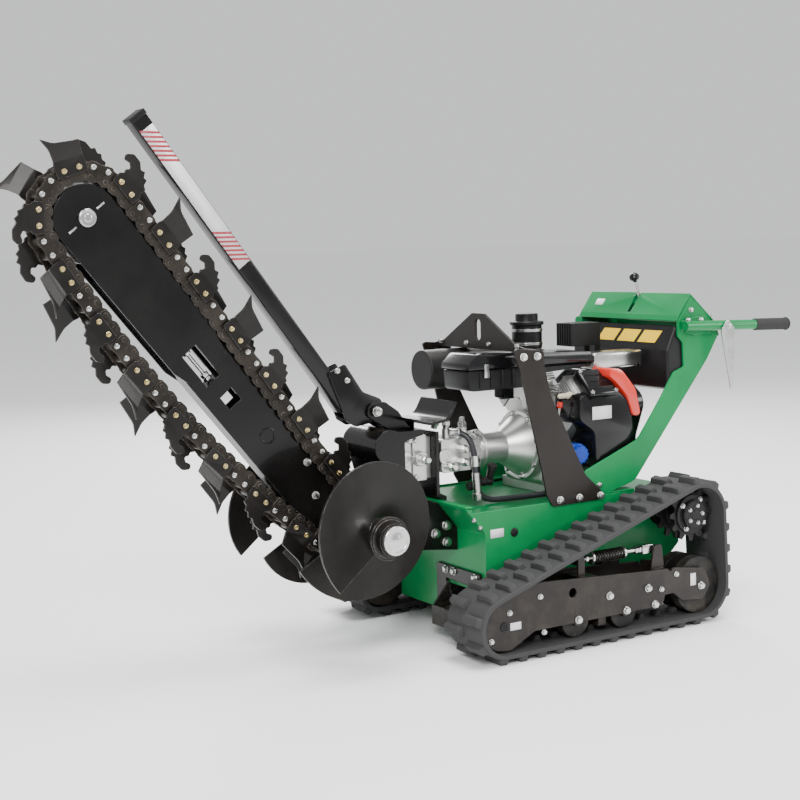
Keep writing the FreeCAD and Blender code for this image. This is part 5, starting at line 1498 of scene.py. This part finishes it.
    def small_parts(self) -> None:
        """Plug boots, oil cap, dipstick, canister clamps and the oil filter's flutes."""
        boot = Shape.turned([(0.0, 0.0), (11.0, 0.0), (11.0, 26.0), (8.0, 32.0), (8.0, 58.0), (4.0, 64.0),
                             (0.0, 64.0)], 24)
        boots = self.piece("plug_boots", "root", "black_plastic")
        plug = towards((-770.0, 0.0, 176.0), FORWARD)
        boots.stamp(boot, CREAM, [self.on_bank(side) @ plug for side in Side]).close()
        cap = Shape.turned([(0.0, 16.0), (14.0, 16.0), (18.0, 13.0), (18.0, 2.0), (16.0, 0.0), (0.0, 0.0)],
                           12)
        fill = self.piece("oil_cap", "root", "red_plastic")
        fill.stamp(cap, RED, [towards((-742.0, 92.0, 655.0), (0.0, 0.35, 1.0))]).close()
        lean = (0.12, 0.35, 1.0)
        stick = self.piece("dipstick", "root", "bare_steel")
        stick.stamp(Shape.rod(4.0, 190.0, 14), STEEL, [towards((-735.0, 100.0, 500.0), lean)])
        pull = Shape.turned([(0.0, 0.0), (8.0, 0.0), (10.0, 6.0), (8.0, 16.0), (0.0, 18.0)], 16)
        stick.stamp(pull, RED, [towards((-714.0, 161.0, 680.0), lean)]).close()
        canister = self.piece("canister_clamps", "root", "bare_steel")
        band = Shape.turned([(48.2, 0.0), (50.0, 0.0), (50.0, 9.0), (48.2, 9.0)], 40, closed=True)
        canister.stamp(band, STEEL, [towards((*self.canister, z), UP) for z in (862.0, 905.0)]).close()
        flutes = self.piece("filter_flutes", "root", "blue_can")
        flute = Shape.rod(3.0, 12.0, 10, bevel=0.8)
        ring = [towards((self.filter_x + x, 201.0, self.filter_z + z), LEFTWARD)
                for x, z in bolt_circle(self.flute_r, 12)]
        flutes.stamp(flute, BLUE, ring).close()

    def pump_fittings(self) -> None:
        """Unions, elbows, ports and bolts of the pumps and the bell housing."""
        fittings = self.piece("fittings", "root", "bare_steel")
        union = Shape.turned([(0.0, 0.0), (11.0, 0.0), (11.0, 10.0), (14.0, 12.0), (14.0, 24.0), (9.0, 27.0),
                              (9.0, 40.0), (0.0, 40.0)], 6).mesh()
        spots = [((-380.0, 30.0, 630.0), UP), ((-440.0, 30.0, 622.0), UP),
                 ((-262.0, 76.0, 555.0), LEFTWARD), ((-418.0, 54.0, 570.0), LEFTWARD),
                 ((-418.0, 54.0, 530.0), LEFTWARD), ((-372.0, 54.0, 520.0), LEFTWARD),
                 ((-460.0, 54.0, 600.0), (0.0, 1.0, 0.6)), ((-330.0, 40.0, 640.0), (0.0, 0.5, 1.0))]
        fittings.stamp(union, ZINC, [towards(at, way) for at, way in spots])
        elbow = Shape.turned([(0.0, 0.0), (15.0, 0.0), (15.0, 14.0), (12.0, 16.0), (12.0, 52.0), (15.0, 54.0),
                              (15.0, 66.0), (0.0, 66.0)], 8).mesh()
        spots = [((-470.0, 62.0, 470.0), (0.1, 0.0, 1.0)), ((-505.0, 70.0, 455.0), (0.0, 0.4, 1.0)),
                 ((-430.0, 70.0, 452.0), (-1.0, 0.1, 0.2))]
        fittings.stamp(elbow, CAST_BLACK, [towards(at, way) for at, way in spots]).close()
        flange = [((self.bell_x, y, self.drive_z + z), FORWARD)
                  for y, z in bolt_circle(self.bell_bolt_r, 8, 0.2)]
        self.bolts("bell_bolts", "root", "bare_steel", M8, ZINC, flange)
        front = [((self.pump_front_x, y, z), FORWARD) for y in (-40.0, 40.0) for z in (505.0, 603.0)]
        self.bolts("pump_bolts", "root", "bare_steel", M12, ZINC, front)
        sides = [((x, 56.0, z), LEFTWARD) for x in (-252.0, -232.0) for z in (500.0, 610.0)]
        self.bolts("pump_side_bolts", "root", "bare_steel", M8, ZINC, sides)
        port = Shape.turned([(0.0, 1.0), (10.0, 1.0), (10.0, 4.0), (22.0, 4.0), (24.0, 2.0), (24.0, 0.0),
                             (0.0, 0.0)], 32)
        spots = ((-220.0, 50.0, 555.0), (-360.0, 55.0, 550.0), (-472.0, 55.0, 550.0))
        ports = self.piece("pump_ports", "root", "cast_alloy")
        ports.stamp(port, ALLOY, [towards(at, LEFTWARD) for at in spots]).close()

    def manifold(self) -> None:
        """Silver intake manifold and linkage between the cylinders."""
        plumbing = self.piece("intake_manifold", "root", "cast_alloy")
        runner = Shape.turned([(0.0, 0.0), (27.0, 0.0), (27.0, 6.0), (20.0, 9.0), (20.0, 60.0), (24.0, 64.0),
                               (24.0, 72.0), (0.0, 72.0)], 28).mesh()
        plumbing.stamp(runner, ALLOY, [towards((-735.0, side.value * 14.0, 690.0), (-0.25, side.value, 0.25))
                                       for side in Side])
        plate = Shape.block((-764.0, 60.0, 706.0), (-676.0, 66.0, 756.0), 2.0)
        plumbing.stamp(plate, ZINC).close()
        links = self.piece("throttle_links", "root", "bare_steel")
        rod = Shape.rod(2.5, 120.0, 10).mesh()
        links.stamp(rod, ZINC, [towards((-680.0, 70.0, 742.0), (-1.0, 0.25, -0.12)),
                                towards((-668.0, 74.0, 720.0), (-1.0, 0.1, 0.22))])
        coil = Shape.coil(radius=6.0, wire=1.1, pitch=3.0, turns=16.0)
        links.stamp(coil, STEEL, [towards((-776.0, 98.0, 716.0), (1.0, -0.1, 0.2))])
        arm = Shape.plate([(-690.0, 702.0, 8.0), (-664.0, 702.0, 8.0), (-660.0, 752.0, 8.0),
                           (-678.0, 760.0, 8.0)], Plane.XZ, 68.0, 71.0, 0.8)
        links.stamp(arm, ZINC).close()

    def hose(self) -> None:
        """Pressure hose from the drive pump's port down to the deck and along it to the engine's foot."""
        curve = bpy.data.curves.new("pressure_line", "CURVE")
        curve.dimensions = "3D"
        curve.bevel_depth = self.hose_d / 2 * MM
        curve.bevel_resolution = 6
        curve.resolution_u = 12
        curve.use_fill_caps = True
        spline = curve.splines.new("NURBS")
        spline.points.add(len(HOSE_ROUTE) - 1)
        for point, place in zip(spline.points, HOSE_ROUTE):
            point.co = (*(self.datum.to_row @ Vector(place)), 1.0)
        spline.order_u = 3
        spline.use_endpoint_u = True
        curve.materials.append(HOSE.material())
        line = bpy.data.objects.new("pressure_line", curve)
        bpy.context.scene.collection.objects.link(line)
        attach(line, "root")
        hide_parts("pressure_hose")

    def hose_ends(self) -> None:
        """Crimped ferrules on the hose, and the long straight union where it drops to the deck."""
        ferrule = self.piece("hose_ferrules", "root", "bare_steel")
        bore = self.hose_d / 2 + 0.2
        sleeve = Shape.turned([(bore, 0.0), (13.0, 0.0), (13.0, 8.0), (12.0, 10.0), (12.0, 32.0),
                               (10.5, 34.0), (bore, 34.0)], 28, closed=True).mesh()
        start, onward, *_, before, tail = (Vector(place) for place in HOSE_ROUTE)
        drop, landing = Vector(HOSE_ROUTE[3]), Vector(HOSE_ROUTE[4])
        falling = landing - drop
        ferrule.stamp(sleeve, ZINC, [towards(start, onward - start), towards(tail, before - tail),
                                     towards(drop - falling * 0.9, falling)])
        joint = Shape.turned([(bore, 0.0), (12.0, 0.0), (12.0, 62.0), (15.0, 64.0), (15.0, 84.0),
                              (bore, 84.0)], 24, closed=True)
        ferrule.stamp(joint, STEEL, [towards(drop, falling)]).close()

    def make(self) -> None:
        """Builds the whole power unit."""
        self.hose()
        self.hose_ends()
        self.castings()
        self.covers()
        self.air_box()
        self.manifold()
        self.small_parts()
        self.pump_fittings()


# ------------------------------------------------------------------ controls
@dataclass
class Controls(SubAssembly):
    """Tank, console, handles, levers and grips."""

    tank_low: Triple = (-1086.0, 0.0, 836.0)
    tank_high: Triple = (-1122.0, 0.0, 912.0)
    console_low: Triple = (-1127.0, 0.0, 944.0)
    console_apex: Triple = (-1179.0, 0.0, 1013.0)
    grip_front: Triple = (-1433.0, 267.0, 902.5)
    grip_rear: Triple = (-1580.0, 267.0, 898.0)
    grip_length: float = 147.0
    rib_pitch: float = 9.0
    lever_foot: Triple = (-1182.0, 0.0, 985.0)
    knob_rise: float = 77.0

    @staticmethod
    def panel(low: Sequence[float], high: Sequence[float]) -> tuple[Vector, Vector, Matrix]:
        """Slope, outward direction and turn of a sloping front panel.

        Args:
            low: a point on its lower edge.
            high: the point above it on its upper edge.

        Returns:
            The way up the panel, the way out of it, and the turn that lays a flat shape on it.
        """
        slope = (Vector(high) - Vector(low)).normalized()
        facing = Vector((slope.z, 0.0, -slope.x))
        return slope, facing, Matrix((LEFTWARD, tuple(slope), tuple(facing))).transposed().to_4x4()

    def tank(self) -> None:
        """Moulded tank with its cap, and plain yellow bars on the front panel."""
        soften(PLASTIC, "fuel_tank", width=8.0)
        slope, facing, lie = self.panel(self.tank_low, self.tank_high)
        middle = Vector(self.tank_low) + slope * 44.0 + facing * 0.2
        wide, tall, slant = 42.0, 21.0, 9.0
        block = Shape.plate([(-wide - slant, -tall), (wide - slant, -tall), (wide + slant, tall),
                             (-wide + slant, tall)], Plane.XY, 0.0, BLANK_THICK)
        spots = [middle + Vector((0.0, y, 0.0)) for y in (-66.0, 34.0, 134.0)]
        bars = self.piece("tank_bars", "root", "red_plastic")
        bars.stamp(block, YELLOW, [Matrix.Translation(spot) @ lie for spot in spots]).close()
        cap = Shape.turned([(0.0, 24.0), (24.0, 24.0), (30.0, 20.0), (30.0, 4.0), (34.0, 0.0), (0.0, 0.0)],
                           14)
        self.piece("tank_cap", "root", "black_plastic").stamp(
            cap, PLASTIC, [towards((-1186.0, -150.0, 748.0), (-0.72, 0.0, -0.35))]).close()

    def handles(self) -> None:
        """Handle tubes with ribbed grips and their bracket bolts."""
        soften(GREEN, "handlebars")
        bore, valley, crest, length = 16.3, 18.2, 19.4, self.grip_length
        profile: list[tuple[float, float]] = [(bore, 0.0)]
        for k in range(int(length / self.rib_pitch)):
            at = k * self.rib_pitch
            profile += [(valley, at + 1.0), (crest, at + 2.4), (crest, at + 6.0), (valley, at + 7.4)]
        profile += [(21.5, length - 3.0), (20.0, length), (bore, length)]
        grip = Shape.turned(profile, 32, closed=True)
        along = Vector(self.grip_rear) - Vector(self.grip_front)
        place = towards(self.grip_front, along)
        self.piece("ribbed_grips", "root", "grip_rubber").stamp(
            grip, GRIP, [side.mirror @ place for side in Side]).close(replaces=["grips"])
        spots = ((-1160.0, 928.0), (-1215.0, 927.0))
        seats = both_sides([((x, HALF_WIDTH + PLATE, z), LEFTWARD) for x, z in spots])
        self.bolts("handle_bolts", "root", "bare_steel", M8, ZINC, seats)

    def levers(self) -> None:
        """Control lever with its pivot eye and knob, and the release blade with its bolt."""
        foot = Vector(self.lever_foot)
        lean = Vector((22.0, 0.0, self.knob_rise)).normalized()
        lever = self.piece("drive_lever", "lever", "bare_steel")
        lever.stamp(Shape.rod(5.0, 66.0, 20), STEEL, [towards(foot, lean)])
        bore, half = 5.1, 8.0
        eye = Shape.turned([(bore, -half), (11.0, -half), (12.0, 1.0 - half), (12.0, half - 1.0),
                            (11.0, half), (bore, half)], 28, closed=True)
        lever.stamp(eye, STEEL, [towards(foot, LEFTWARD)])
        knob = Shape.turned([(0.0, -15.0), (7.0, -15.0), (8.0, -11.0), (14.5, -7.0), (17.0, 0.0), (15.0, 8.0),
                             (9.0, 14.5), (0.0, 17.0)], 32)
        top = foot + Vector((24.0, 0.0, self.knob_rise))
        lever.stamp(knob, GLOSS_PLASTIC, [towards(top, lean)]).close(replaces=["control_lever"])
        soften(ZINC, "release_lever", width=0.8)
        self.bolts("blade_bolt", "blade", "bare_steel", M8, ZINC, [((-1297.0, 292.2, 905.0), LEFTWARD)])

    def console_trim(self) -> None:
        """Blank plate on the console, and bolts on the uprights."""
        plates = self.piece("console_plates", "root", "red_plastic")
        _, facing, lie = self.panel(self.console_low, self.console_apex)
        blank = Shape.block((-20.0, -12.0, 0.0), (20.0, 12.0, BLANK_THICK), 0.2)
        middle = (Vector(self.console_low) + Vector(self.console_apex)) / 2 + facing * 0.1
        spot = middle + Vector((0.0, -170.0, 0.0))
        plates.stamp(blank, WHITE, [Matrix.Translation(spot) @ lie]).close()
        spots = ((-700.0, 432.0), (-800.0, 440.0), (-1150.0, 900.0), (-1180.0, 960.0))
        seats = both_sides([((x, HALF_WIDTH, z), LEFTWARD) for x, z in spots])
        self.bolts("upright_bolts", "root", "bare_steel", M8, STEEL, seats)

    def make(self) -> None:
        """Builds the whole sub-assembly."""
        self.tank()
        self.handles()
        self.levers()
        self.console_trim()


# ------------------------------------------------------------------ studio
LIGHT_AIM = (0.0, 0.0, 0.7)


@dataclass
class Studio:
    """Floor, soft lights and the camera."""

    datum: Datum
    eye: Triple = (2055.7, 3704.9, 1200.0)
    yaw: float = 31.76
    pitch: float = 6.19
    roll: float = -1.43
    lens: float = 65.9
    sensor: float = 36.0
    floor_size: float = 400.0
    floor_colour: Colour = (0.97, 0.97, 0.97)
    floor_roughness: float = 0.85
    room_colour: Colour = (0.98, 0.99, 1.0)
    room_strength: float = 0.85

    def camera(self) -> None:
        """The camera, aimed by yaw, pitch and roll."""
        yaw, pitch, roll = (math.radians(angle) for angle in (self.yaw, self.pitch, self.roll))
        ahead = Vector((-math.sin(yaw) * math.cos(pitch), -math.cos(yaw) * math.cos(pitch), -math.sin(pitch)))
        right = Vector((-math.cos(yaw), math.sin(yaw), 0.0))
        above = right.cross(ahead)
        across = math.cos(roll) * right + math.sin(roll) * above
        upward = -math.sin(roll) * right + math.cos(roll) * above
        place = Matrix((across, upward, -ahead)).transposed().to_4x4()
        place.translation = self.datum.to_row @ Vector(self.eye)
        data = bpy.data.cameras.new("camera")
        data.lens = self.lens
        data.sensor_width = self.sensor
        camera = bpy.data.objects.new("camera", data)
        camera.matrix_world = place
        bpy.context.scene.collection.objects.link(camera)
        bpy.context.scene.camera = camera

    def floor(self) -> None:
        """Plain pale floor."""
        bm = bmesh.new()
        bmesh.ops.create_grid(bm, x_segments=1, y_segments=1, size=self.floor_size / 2)
        data = bpy.data.meshes.new("floor")
        bm.to_mesh(data)
        bm.free()
        floor = bpy.data.objects.new("floor", data)
        bpy.context.scene.collection.objects.link(floor)
        material = bpy.data.materials.new("pale_floor")
        material.use_nodes = True
        shader = material.node_tree.nodes["Principled BSDF"]
        shader.inputs["Base Color"].default_value = (*self.floor_colour, 1.0)
        shader.inputs["Roughness"].default_value = self.floor_roughness
        data.materials.append(material)
        floor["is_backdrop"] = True

    def light(self, name: str, at: Triple, size: float, power: float) -> None:
        """Adds one soft square light that faces the machine.

        Args:
            name: the light's name.
            at: where it stands in the row frame, metres.
            size: side of the square, metres.
            power: its power, watts.
        """
        data = bpy.data.lights.new(name, "AREA")
        data.size = size
        data.energy = power
        lamp = bpy.data.objects.new(name, data)
        way = Vector(LIGHT_AIM) - Vector(at)
        lamp.matrix_world = Matrix.Translation(at) @ way.to_track_quat("-Z", "Y").to_matrix().to_4x4()
        bpy.context.scene.collection.objects.link(lamp)

    def make(self) -> None:
        """Sets the whole studio up."""
        self.camera()
        self.floor()
        self.light("key", (3.6, 4.6, 4.2), 2.2, 360.0)
        self.light("fill", (-4.8, 3.6, 2.6), 2.0, 170.0)
        self.light("top", (-0.4, 0.4, 6.0), 3.0, 420.0)
        self.light("rim", (-2.5, -5.0, 3.6), 2.4, 260.0)
        world = bpy.data.worlds.new("soft_room")
        world.use_nodes = True
        glow = world.node_tree.nodes["Background"]
        glow.inputs["Color"].default_value = (*self.room_colour, 1.0)
        glow.inputs["Strength"].default_value = self.room_strength
        bpy.context.scene.world = world


def corners(bounds: Iterable[Iterable[float]]) -> list[list[float]]:
    """A box as plain lists of numbers."""
    return [[float(value) for value in corner] for corner in bounds]


def main() -> None:
    """Builds every sub-assembly in order."""
    logging.basicConfig(level=logging.INFO, format="%(name)s: %(message)s")
    datum = Datum.read()
    Studio(datum).make()
    PowerUnit(datum).make()
    DiggingBoom(datum).make()
    HeadDrive(datum).make()
    SafetyBar(datum).make()
    for side in Side:
        Track(datum, side).make()
    Chassis(datum).make()
    Controls(datum).make()
    {"cad": corners(cad_box), "visual": corners(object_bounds())}


if __name__ == "__main__":
    main()
